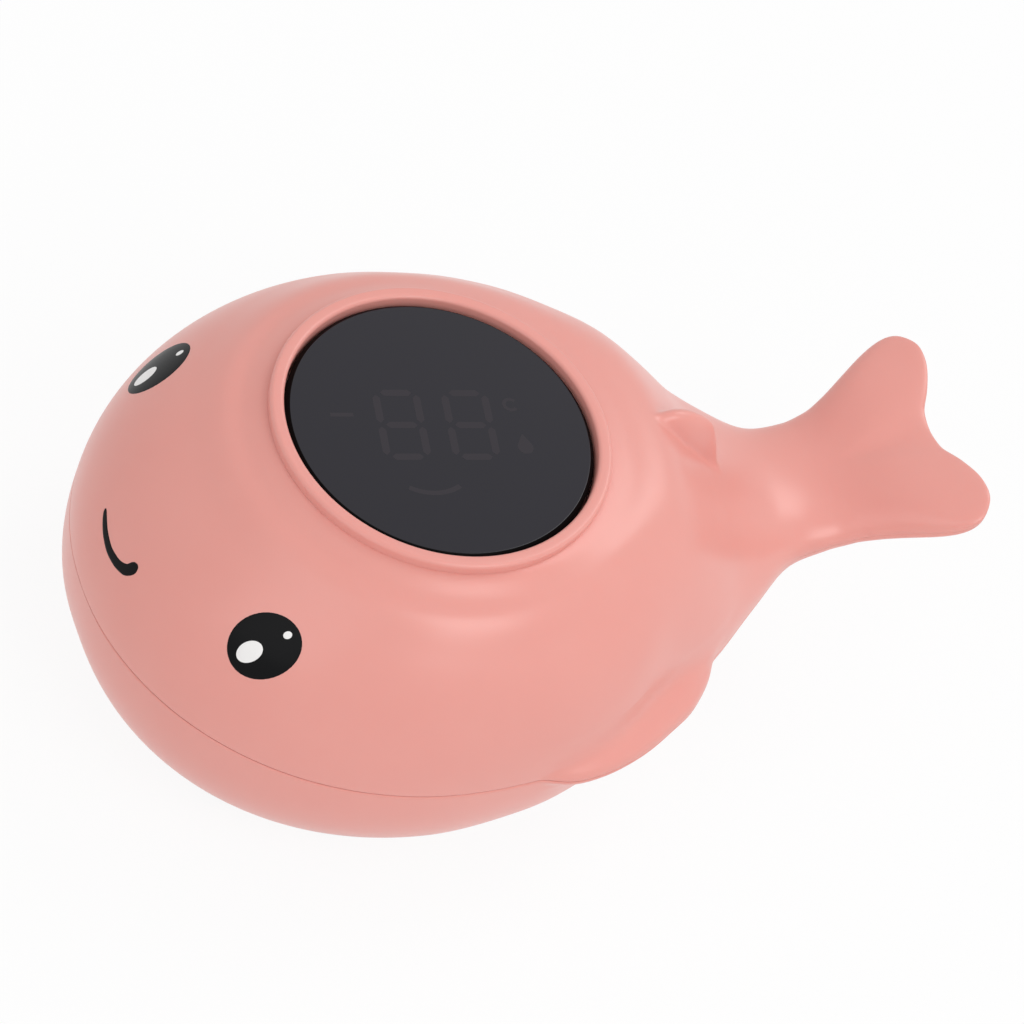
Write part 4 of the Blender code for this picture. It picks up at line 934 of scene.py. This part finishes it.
    def build(self, name: str) -> bpy.types.Object:
        """Build the half as a closed solid.

        Args:
            name: the object's name.

        Returns:
            The new object.
        """
        form = self.form
        grid = self.skin()
        sign = float(self.side.value)
        rim = grid[:, -1, :2]
        groove = 1.0 - self.tail_groove_less * smooth_step((rim[:, :1] - 44.0) / 10.0)
        gap = self.gap * groove
        rise = np.where(grid[..., 2] <= 1e-9, gap, np.hypot(grid[..., 2], gap))
        tangent = np.gradient(rim, axis=0)
        outward = np.stack([-tangent[:, 1], tangent[:, 0]], -1)
        outward /= np.maximum(np.linalg.norm(outward, axis=1, keepdims=True), 1e-9)
        outward[0], outward[-1] = (-1.0, 0.0), (1.0, 0.0)
        lips = []
        for drawn, height in self.lips:
            share = np.clip(grid[:, -2, 2] / 0.3, 0.0, 1.0)[:, None]
            lips.append((rim - outward * drawn * share * groove, height * groove[:, 0]))
        x, y, z = grid[:, 1:-1, 0], grid[:, 1:-1, 1], rise[:, 1:-1]
        for place, height in lips:
            level = np.minimum(height, np.maximum(z[:, -1], gap[:, 0]))
            x = np.concatenate([place[:, :1], x, place[:, :1]], 1)
            y = np.concatenate([-place[:, 1:], y, place[:, 1:]], 1)
            z = np.concatenate([level[:, None], z, level[:, None]], 1)
        x[0], y[0], z[0] = form.head_x, 0.0, self.gap
        points = np.stack([x, y, form.seam(x) + sign * z], -1)
        rows, columns = points.shape[:2]
        faces = grid_faces(rows, columns)
        number = np.arange(rows * columns).reshape(rows, columns)
        left, right = number[:, 0], number[:, -1]
        root = rows - self.fluke_rays - 1
        between = self.fluke_inside(points[root:, -1])
        inner = rows * columns + np.arange(between.shape[0] * between.shape[1]).reshape(between.shape[:2])
        net = np.concatenate([number[root:, :1], inner, number[root:, -1:]], 1)
        faces += [(left[i], right[i], right[i + 1], left[i + 1]) for i in range(root - 1)]
        faces.append((left[root - 1], right[root - 1], *net[0][::-1]))
        faces += net_faces(net)
        clean = [tuple(dict.fromkeys(int(n) for n in face)) for face in faces]
        every = np.concatenate([points.reshape(-1, 3), between.reshape(-1, 3)])
        return new_mesh_object(name, every, [face for face in clean if len(face) > 2])


@dataclass
class UpperShell:
    """The upper moulding with the display's ring, the back fin and the upper halves of the flippers."""

    form: WhaleForm
    ring_inner: float = 20.5
    ring_rise: float = 0.9
    ring_round: float = 0.55
    ledge: float = 44.15

    def build(self) -> bpy.types.Object:
        """Build the moulding.

        Returns:
            The shell with its ring, as one object.
        """
        shell = ShellHalf(self.form, Side.UPPER).build("upper_moulding")
        top = self.form.display_height + self.ring_rise
        outer = self.form.ring_radius
        outline = rounded_outline([
            (outer, top, self.ring_round), (self.ring_inner, top, self.ring_round),
            (self.ring_inner, self.ledge - 0.6, 0.0), (outer - 0.25, self.ledge - 0.6, 0.0)], 7)
        ring = turned_object("display_ring", outline, steps=192)
        joined = bmesh.new()
        joined.from_mesh(shell.data)
        joined.from_mesh(ring.data)
        joined.to_mesh(shell.data)
        joined.free()
        bpy.data.objects.remove(ring, do_unlink=True)
        shade_smooth(shell)
        return shell

    def dress(self, material: bpy.types.Material) -> bpy.types.Object:
        """Build the moulding in its coral plastic."""
        return dress(self.build(), CORAL_ABS, material, ["upper_shell"])


@dataclass(frozen=True)
class BellyLayout:
    """Where the screws, the probe and the water contacts sit in the belly."""

    screws: tuple[tuple[float, float], ...] = ((-24.0, 18.5), (22.8, 15.2))
    probe_x: float = -24.6
    contact: tuple[float, float] = (-21.5, 11.5)
    door_x: float = -2.8


BELLY = BellyLayout()


@dataclass
class LowerShell:
    """The belly moulding with the door's recess, the screw wells and the holes of the sensors."""

    form: WhaleForm
    door_seat: float = 15.95
    door_ledge: float = 3.0
    well_radius: float = 2.8
    well_top: float = 12.0
    probe_hole: float = 3.3
    contact_hole: float = 2.2
    sensor_top: float = 4.0
    edge_break: float = 0.25

    def opening(self, name: str, radius: float, top: float,
                centre: tuple[float, float]) -> bpy.types.Object:
        """Make the solid that cuts one round opening, with a broken edge at the belly."""
        wide = radius + self.edge_break
        outline = [(0.0, -1.0), (wide, -1.0), (wide, 0.0), (radius, self.edge_break), (radius, top),
                   (0.0, top)]
        return turned_object(name, outline, centre, steps=128 if radius > 6.0 else 64)

    def build(self) -> bpy.types.Object:
        """Build the moulding with its openings.

        Returns:
            The new object.
        """
        shell = ShellHalf(self.form, Side.LOWER).build("lower_moulding")
        cutters = [self.opening("door_recess", self.door_seat, self.door_ledge, (BELLY.door_x, 0.0)),
                   self.opening("probe_opening", self.probe_hole, self.sensor_top, (BELLY.probe_x, 0.0))]
        for hand in Hand:
            for number, (x, y) in enumerate(BELLY.screws):
                cutters.append(self.opening(f"screw_opening_{hand.name}_{number}", self.well_radius,
                                            self.well_top, (x, hand.value * y)))
            x, y = BELLY.contact
            cutters.append(self.opening(f"contact_opening_{hand.name}", self.contact_hole,
                                        self.sensor_top, (x, hand.value * y)))
        cut_away(shell, cutters)
        return shell

    def dress(self, material: bpy.types.Material) -> bpy.types.Object:
        """Build the moulding in its coral plastic."""
        return dress(self.build(), CORAL_ABS, material, ["lower_shell"])


@dataclass
class DisplayWindow:
    """The smoked window in its ring. The unlit display seen through it is a film on its top."""

    height: float = 47.35
    radius: float = 20.2
    thickness: float = 2.0
    bevel: float = 0.6
    turn: float = math.radians(-7.0)
    look_through: tuple[float, float] = (-0.92, -1.56)
    film: float = 0.004
    bar_half: float = 0.5

    def window(self) -> bpy.types.Object:
        """Turn the window, with its bevel."""
        low = self.height - self.thickness
        outline = rounded_outline([
            (0.0, low, 0.0), (self.radius, low, 0.1), (self.radius, self.height - self.bevel, 0.12),
            (self.radius - self.bevel, self.height, 0.12), (0.0, self.height, 0.0)], 4)
        return turned_object("smoked_window", outline, steps=192, crease_degrees=60.0)

    @staticmethod
    def paint_dark_edge(window: bpy.types.Object, edge: bpy.types.Material) -> None:
        """Give the window's bevel and side their matt black instead of the polish, as a painted dark
        reflection.

        Args:
            window: the dressed window.
            edge: the material of the bevel, painted dark for its reflection.
        """
        window.data.materials.append(edge)
        for polygon in window.data.polygons:
            if polygon.normal.z < 0.85:
                polygon.material_index = 1

    def place(self, x: float, y: float) -> tuple[float, float]:
        """Turn a place on the display by its slight turn, as it is seen through the window."""
        cos, sin = math.cos(self.turn), math.sin(self.turn)
        return (x * cos - y * sin + self.look_through[0], x * sin + y * cos + self.look_through[1])

    def patch(self, outline: Sequence[tuple[float, float]]) -> tuple[list[Point], list[Sequence[int]]]:
        """Make one flat mark from its outline."""
        points = [(*self.place(x, y), self.height + self.film) for x, y in outline]
        return points, [tuple(range(len(points)))]

    def bar(self, x: float, y: float, length: float, upright: bool) -> list[tuple[float, float]]:
        """Give the pointed outline of one segment.

        Args:
            x: its middle.
            y: its middle.
            length: its length.
            upright: whether it stands up.

        Returns:
            The corners.
        """
        half, tip = 0.5 * length, self.bar_half
        flat = [(-half, 0.0), (-half + tip, tip), (half - tip, tip), (half, 0.0), (half - tip, -tip),
                (-half + tip, -tip)]
        if upright:
            return [(x + v + 0.05 * u, y + u) for u, v in flat]
        return [(x + u, y + v) for u, v in flat]

    @staticmethod
    def ring_strip(x: float, y: float, radius: float, half: float, start: float,
                   end: float) -> list[tuple[float, float]]:
        """Give the outline of a curved stroke about a centre, between two angles in degrees."""
        angles = np.radians(np.linspace(start, end, 28))
        sides = ((radius + half, angles), (radius - half, angles[::-1]))
        return [(x + reach * math.cos(a), y + reach * math.sin(a)) for reach, turns in sides for a in turns]

    def marks(self) -> bpy.types.Object:
        """Draw the two digits, the degree sign, the drop and the curved bar of the unlit display."""
        outlines = []
        for left, right, middle in ((-7.2, -1.82, -4.45), (2.0, 7.4, 4.75)):
            for y in (7.22, 2.1, -2.93):
                outlines.append(self.bar(middle + 0.05 * (y - 2.1), y, 4.2, False))
            for x in (left, right):
                outlines.append(self.bar(x + 0.14, 4.66, 4.5, True))
                outlines.append(self.bar(x - 0.1, -0.42, 4.5, True))
        outlines.append(self.ring_strip(10.84, 5.4, 0.85, 0.24, 40.0, 320.0))
        drop = [(11.35 + 1.05 * math.cos(a), -1.4 + 1.05 * math.sin(a))
                for a in np.radians(np.linspace(150.0, 390.0, 24))]
        outlines.append(drop + [(11.35, 0.75)])
        outlines.append(self.ring_strip(-2.4, -2.2, 6.4, 0.35, 240.0, 304.0))
        outlines.append([(-13.6, 3.4), (-10.55, 3.4), (-10.55, 4.0), (-13.6, 4.0)])
        points, faces = [], []
        for outline in outlines:
            more, loops = self.patch(outline)
            faces += [tuple(n + len(points) for n in loop) for loop in loops]
            points += more
        obj = new_mesh_object("unlit_display_marks", np.array(points), faces)
        for polygon in obj.data.polygons:
            if polygon.normal.z < 0.0:
                polygon.flip()
        return obj

    def dress(self, smoke: bpy.types.Material, edge: bpy.types.Material,
              unlit: bpy.types.Material) -> None:
        """Build the window and its marks in their finishes."""
        # The bevel's matt black is a painted dark reflection.
        self.paint_dark_edge(dress(self.window(), SMOKED_ACRYLIC, smoke, ["display_window"]), edge)
        dress(self.marks(), UNLIT_SEGMENT, unlit)


@dataclass
class Face:
    """The printed eyes with their highlights, and the printed smile."""

    form: WhaleForm
    eye_centre: tuple[float, float] = (-28.22, -21.77)
    eye_radii: tuple[float, float] = (4.95, 4.15)
    eye_long_way: tuple[float, float] = (0.958, -0.286)
    glint_long_way: tuple[float, float] = (0.988, -0.157)
    large_glint: tuple[float, float, float, float] = (-29.82, -21.63, 1.85, 1.3)
    small_glint: tuple[float, float, float, float] = (-25.86, -22.16, 0.58, 0.48)
    # The photo's far eye sits a little further round than the near one.
    right_eye_shift: float = 0.5
    film: float = 0.04
    edge_sink: float = 0.02
    smile_line: tuple[Point, ...] = (
        (-5.05, 31.65, 0.62), (-4.72, 30.85, 0.84), (-4.2, 30.0, 0.74), (-3.1, 29.4, 0.6),
        (-1.9, 29.06, 0.56), (0.0, 28.85, 0.52), (2.2, 29.1, 0.48), (3.9, 29.55, 0.42),
        (4.9, 29.9, 0.32), (5.3, 30.1, 0.16))

    def film_of(self, name: str, x: np.ndarray, y: np.ndarray, edge: np.ndarray,
                base: float) -> bpy.types.Object:
        """Lay a film of ink on the head.

        Args:
            name: the object's name.
            x: grid of places along the body.
            y: grid of places across it.
            edge: 0 in the middle of the film and 1 at its edge, at each point.
            base: height of what lies under the film.

        Returns:
            The new object.
        """
        fall = edge ** 6
        lift = base + self.film * np.sqrt(np.maximum(1.0 - fall, 0.0)) - self.edge_sink * fall
        points = self.form.lifted(x, y, lift)
        return new_mesh_object(name, points.reshape(-1, 3), grid_faces(*x.shape), 60.0)

    def oval(self, name: str, centre: tuple[float, float], radii: tuple[float, float],
             long_way: tuple[float, float], hand: Hand, base: float) -> bpy.types.Object:
        """Print an oval whose long way rises towards the tail.

        Args:
            name: the object's name.
            centre: its place on the left side.
            radii: its long and short radius.
            long_way: the way of its long axis on the left side, seen from above.
            hand: the side it is printed on.
            base: height of what lies under it.

        Returns:
            The new object.
        """
        x, y = np.array(centre[0]), np.array(centre[1])
        normal = self.form.normal(x, y)
        along = np.array([*long_way, -np.dot(long_way, normal[:2]) / normal[2]])
        along = along / np.linalg.norm(along)
        across = np.cross(normal, along)
        turn = np.linspace(0.0, 2.0 * math.pi, 121)[:, None]
        share = np.sin(np.linspace(0.0, math.pi / 2.0, 22))[None, :]
        u, v = radii[0] * share * np.cos(turn), radii[1] * share * np.sin(turn)
        xs = x + u * along[0] + v * across[0]
        ys = y + u * along[1] + v * across[1]
        if hand is Hand.RIGHT:
            ys = ys - self.right_eye_shift
        return self.film_of(name, xs, -hand.value * ys, share + 0.0 * turn, base)

    def smile(self) -> bpy.types.Object:
        """Print the smile: a shallow arc, heavier where it turns up at the left."""
        line = np.array(self.smile_line)
        place = np.linspace(0.0, len(line) - 1.0, 220)
        padded = np.concatenate([2.0 * line[:1] - line[1:2], line, 2.0 * line[-1:] - line[-2:-1]])
        whole = np.clip(place.astype(int), 0, len(line) - 2)
        t = (place - whole)[:, None]
        a, b, c, d = (padded[whole + k] for k in range(4))
        route = 0.5 * (2.0 * b + t * (c - a + t * (2.0 * a - 5.0 * b + 4.0 * c - d
                                                   + t * (3.0 * b - a - 3.0 * c + d))))
        middle, half = route[:, :2], np.maximum(route[:, 2], 0.02)
        tangent = np.gradient(middle, axis=0)
        tangent /= np.linalg.norm(tangent, axis=1, keepdims=True)
        arc = np.concatenate([[0.0], np.cumsum(np.linalg.norm(np.diff(middle, axis=0), axis=1))])
        blunt = np.sqrt(np.clip(1.0 - (1.0 - np.clip(arc / half[0], 0.0, 1.0)) ** 2, 0.0, 1.0))
        half = half * np.maximum(blunt, 0.02)
        share = np.sin(np.linspace(-math.pi / 2.0, math.pi / 2.0, 15))[None, :]
        y = middle[:, :1] - tangent[:, 1:] * half[:, None] * share
        z = middle[:, 1:] + tangent[:, :1] * half[:, None] * share
        return self.film_of("printed_smile", self.form.front_x(y, z), y, np.abs(share) + 0.0 * y, 0.0)

    def dress(self, black: bpy.types.Material, white: bpy.types.Material) -> None:
        """Build the whole face in its inks."""
        for hand in Hand:
            word = hand.name.lower()
            eye = self.oval(f"printed_{word}_eye", self.eye_centre, self.eye_radii, self.eye_long_way,
                            hand, 0.0)
            dress(eye, BLACK_INK, black, [f"{word}_eye"])
            for size, (x, y, long, short) in (("large", self.large_glint), ("small", self.small_glint)):
                glint = self.oval(f"printed_{word}_glint_{size}", (x, y), (long, short),
                                  self.glint_long_way, hand, self.film)
                dress(glint, WHITE_INK, white, [f"{word}_eye_glint_{size}"])
        dress(self.smile(), BLACK_INK, black, ["smile"])


@dataclass
class BatteryDoor:
    """The round door in the belly, turned in place with a coin."""

    centre: tuple[float, float] = (BELLY.door_x, 0.0)
    low: float = 0.3
    top: float = 2.7
    radius: float = 15.6
    chamfer: float = 0.5
    slot: Point = (17.0, 2.2, 2.4)

    def build(self) -> bpy.types.Object:
        """Build the door.

        Returns:
            The new object.
        """
        outline = rounded_outline([
            (0.0, self.low, 0.0), (self.radius - self.chamfer, self.low, 0.2),
            (self.radius, self.low + self.chamfer, 0.2), (self.radius, self.top, 0.0),
            (0.0, self.top, 0.0)], 4)
        door = turned_object("coin_slot_door", outline, self.centre, 160)
        slot = box_object("coin_slot_cutter", (*self.centre, self.low), self.slot)
        length, width, height = self.slot
        low, top = self.low - height / 2.0, self.low + height / 2.0
        end = [(0.0, low), (width / 2.0, low), (width / 2.0, top), (0.0, top)]
        ends = [turned_object(f"coin_slot_end_{k}", end, (self.centre[0] + k * length / 2.0, 0.0), 48)
                for k in (-1, 1)]
        cut_away(door, [slot] + ends, "EXACT")
        return door

    def dress(self, material: bpy.types.Material) -> None:
        """Build the door in its coral plastic."""
        dress(self.build(), CORAL_ABS, material, ["battery_door"])


@dataclass
class BellyMetal:
    """The steel that shows in the belly: the probe's cap, the two water contacts and the four screws."""

    probe_radius: float = 3.0
    contact_radius: float = 1.9
    low: float = 0.3
    shank_radius: float = 1.25
    shank_top: float = 27.7
    cross: Point = (3.0, 0.7, 1.7)
    head_low: float = 10.1
    head_high: float = 11.7
    head_radius: float = 2.3

    def cap(self, name: str, radius: float, top: float, rounding: float,
            centre: tuple[float, float]) -> bpy.types.Object:
        """Draw a cup or pin with a rounded end."""
        return turned_object(name, rounded_outline([
            (0.0, self.low, 0.0), (radius, self.low, rounding), (radius, top, 0.0), (0.0, top, 0.0)], 8),
            centre, 80)

    def screw(self, name: str, centre: tuple[float, float]) -> bpy.types.Object:
        """Make one pan head screw with its cross recess."""
        outline = rounded_outline([
            (0.0, self.head_low, 0.0), (self.head_radius, self.head_low, 0.55),
            (self.head_radius, self.head_high, 0.1), (self.shank_radius, self.head_high, 0.0),
            (self.shank_radius, self.shank_top, 0.0), (0.0, self.shank_top, 0.0)], 5)
        screw = turned_object(name, outline, centre, 64)
        crosses = [box_object(f"{name}_{k}", (*centre, self.head_low), self.cross, k * math.pi / 2.0)
                   for k in (0, 1)]
        cut_away(screw, crosses, "EXACT")
        return screw

    def dress(self, steel: bpy.types.Material) -> None:
        """Build all the steel in its finish."""
        probe = self.cap("drawn_probe_cap", self.probe_radius, 6.5, 0.8, (BELLY.probe_x, 0.0))
        dress(probe, DRAWN_STEEL, steel, ["probe_cap"])
        for hand in Hand:
            word = hand.name.lower()
            x, y = BELLY.contact
            pin = self.cap(f"water_contact_pin_{word}", self.contact_radius, 7.0, 0.5, (x, hand.value * y))
            dress(pin, DRAWN_STEEL, steel, [f"{word}_water_contact"])
        places = [(x, hand.value * y) for x, y in BELLY.screws for hand in Hand]
        for number, place in enumerate(places, 1):
            screw = self.screw(f"pan_head_screw_{number}", place)
            dress(screw, DRAWN_STEEL, steel, [f"shell_screw_{number}"])


@dataclass
class InnerParts:
    """The parts inside the body, which keep their shapes and get their finishes."""

    finishes: tuple[tuple[str, Finish], ...] = (
        ("display_case", CASE_ABS), ("segment_lens", MILKY_GUIDE), ("window_gasket", SEAL_RUBBER),
        ("shell_seal", SEAL_RUBBER), ("door_seal", SEAL_RUBBER), ("probe_seal", SEAL_RUBBER),
        ("main_board", SOLDER_MASK), ("controller_chip", CHIP_EPOXY), ("thermistor", CHIP_EPOXY),
        ("board_screw_1", DRAWN_STEEL), ("board_screw_2", DRAWN_STEEL), ("board_screw_3", DRAWN_STEEL),
        ("coin_cell", NICKEL_PLATE), ("positive_contact", DRAWN_STEEL), ("negative_contact", DRAWN_STEEL),
        ("battery_lead_red", RED_PVC), ("battery_lead_black", BLACK_PVC), ("thermistor_lead", GREY_PVC),
        ("left_contact_lead", GREY_PVC), ("right_contact_lead", GREY_PVC))

    def dress(self, materials: dict[str, bpy.types.Material]) -> None:
        """Give each part its material.

        Args:
            materials: the materials made so far, by the finish's name.
        """
        for node, finish in self.finishes:
            if finish.name not in materials:
                materials[finish.name] = finish.material()
            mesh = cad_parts[node].data
            mesh.materials.clear()
            mesh.materials.append(materials[finish.name])
            LOG.info("%s: %s", node, finish.name)


# Camera and studio


@dataclass
class PhotoCamera:
    """The camera that took the photograph, as solved from it."""

    azimuth: float = -129.363
    elevation: float = 48.461
    roll: float = -25.1335
    distance: float = 605.4
    target: Point = (6.909, -11.330, 43.529)
    lens: float = 169.32

    def build(self) -> None:
        """Place the camera and make it the scene's."""
        roll = math.radians(self.roll)
        back = direction(self.azimuth, self.elevation)
        level_right = Vector((0.0, 0.0, 1.0)).cross(back).normalized()
        level_up = back.cross(level_right)
        up = math.sin(roll) * level_right + math.cos(roll) * level_up
        right = math.cos(roll) * level_right - math.sin(roll) * level_up
        place = Vector(self.target) * MM + Vector((display_axis(), 0.0, 0.0)) + back * self.distance * MM
        data = bpy.data.cameras.new("photo_camera")
        data.sensor_fit = "HORIZONTAL"
        data.sensor_width = 36.0
        data.lens = self.lens
        data.clip_start = 0.01
        camera = linked("photo_camera", data)
        camera.matrix_world = Matrix((
            (right.x, up.x, back.x, place.x), (right.y, up.y, back.y, place.y),
            (right.z, up.z, back.z, place.z), (0.0, 0.0, 0.0, 1.0)))
        bpy.context.scene.camera = camera


@dataclass(frozen=True)
class SoftBox:
    """One large soft lamp."""

    name: str
    azimuth: float
    elevation: float
    distance: float
    size: tuple[float, float]
    strength: float


@dataclass
class Studio:
    """The pale floor, the white surroundings and the soft lamps."""

    surround: float = 0.66
    floor_glow: float = 0.91
    floor_half: float = 3.0
    floor_level: float = -0.0004
    aim: Point = (0.0, 0.0, 0.025)
    boxes: tuple[SoftBox, ...] = (
        SoftBox("key_softbox", -74.0, 47.0, 0.9, (0.45, 0.45), 2.0),
        SoftBox("front_softbox", -150.0, 36.0, 0.9, (0.6, 0.6), 0.8),
        SoftBox("rear_softbox", 20.0, 48.0, 0.9, (0.35, 0.5), 1.5),
    )

    @staticmethod
    def white_rays(tree: bpy.types.NodeTree) -> bpy.types.NodeSocket:
        """Tell the rays that see the surroundings as plain white from those that carry light."""
        path = add_node(tree, "ShaderNodeLightPath")
        either = add_node(tree, "ShaderNodeMath", {
            0: path.outputs["Is Camera Ray"], 1: path.outputs["Is Glossy Ray"]}, operation="MAXIMUM")
        return add_node(tree, "ShaderNodeMath", {
            0: either.outputs[0], 1: path.outputs["Is Transmission Ray"]}, operation="MAXIMUM").outputs[0]

    def floor(self) -> None:
        """Lay the floor: near white, with the object's shadow left on it."""
        mesh = bpy.data.meshes.new("studio_floor")
        corners = [(x * self.floor_half, y * self.floor_half, self.floor_level)
                   for x, y in ((-1, -1), (1, -1), (1, 1), (-1, 1))]
        mesh.from_pydata(corners, [], [(0, 1, 2, 3)])
        obj = linked("studio_floor", mesh)
        made = bpy.data.materials.new("pale_studio_floor")
        made.use_nodes = True
        tree = made.node_tree
        output = tree.nodes["Material Output"]
        shader = tree.nodes["Principled BSDF"]
        shader.inputs["Base Color"].default_value = linear("#F2F2F2")
        shader.inputs["Roughness"].default_value = 1.0
        shader.inputs["Specular IOR Level"].default_value = 0.0
        glow = add_node(tree, "ShaderNodeEmission", {"Color": (1.0, 1.0, 1.0, 1.0), "Strength": 1.0})
        share = add_node(tree, "ShaderNodeMath", {0: self.white_rays(tree), 1: self.floor_glow},
                         operation="MULTIPLY")
        mix = add_node(tree, "ShaderNodeMixShader", {
            0: share.outputs[0], 1: shader.outputs["BSDF"], 2: glow.outputs["Emission"]})
        tree.links.new(mix.outputs[0], output.inputs["Surface"])
        mesh.materials.append(made)

    def surroundings(self) -> None:
        """Fill the world with soft light that looks white in reflections."""
        world = bpy.data.worlds.new("white_studio")
        bpy.context.scene.world = world
        world.use_nodes = True
        tree = world.node_tree
        background = tree.nodes["Background"]
        level = add_node(tree, "ShaderNodeMapRange", {
            "Value": self.white_rays(tree), "To Min": self.surround, "To Max": 1.0})
        tree.links.new(level.outputs["Result"], background.inputs["Strength"])
        background.inputs["Color"].default_value = (1.0, 1.0, 1.0, 1.0)

    def lamps(self) -> None:
        """Hang the soft boxes round the object, all turned to it."""
        for box in self.boxes:
            data = bpy.data.lights.new(box.name, "AREA")
            data.shape = "RECTANGLE"
            data.size, data.size_y = box.size
            data.energy = box.strength
            way = direction(box.azimuth, box.elevation)
            lamp = linked(box.name, data)
            lamp.location = Vector(self.aim) + way * box.distance
            lamp.rotation_euler = way.to_track_quat("Z", "Y").to_euler()
            LOG.info("%s: %.1f W", box.name, box.strength)

    def build(self) -> None:
        """Set up the whole studio."""
        self.floor()
        self.surroundings()
        self.lamps()
        bpy.context.scene.view_settings.view_transform = "Standard"


def main() -> None:
    """Build the camera, the studio and every piece of the thermometer."""
    logging.basicConfig(level=logging.INFO, format="%(name)s: %(message)s")
    PhotoCamera().build()
    Studio().build()
    shared = (CORAL_ABS, SMOKED_ACRYLIC, PAINTED_DARK_EDGE, UNLIT_SEGMENT, BLACK_INK, WHITE_INK, DRAWN_STEEL)
    materials = {finish.name: finish.material() for finish in shared}
    coral, steel = materials[CORAL_ABS.name], materials[DRAWN_STEEL.name]
    form = WhaleForm()
    UpperShell(form).dress(coral)
    LowerShell(form).dress(coral)
    DisplayWindow().dress(materials[SMOKED_ACRYLIC.name], materials[PAINTED_DARK_EDGE.name],
                          materials[UNLIT_SEGMENT.name])
    Face(form).dress(materials[BLACK_INK.name], materials[WHITE_INK.name])
    BatteryDoor().dress(coral)
    BellyMetal().dress(steel)
    InnerParts().dress(materials)


if __name__ == "__main__":
    main()
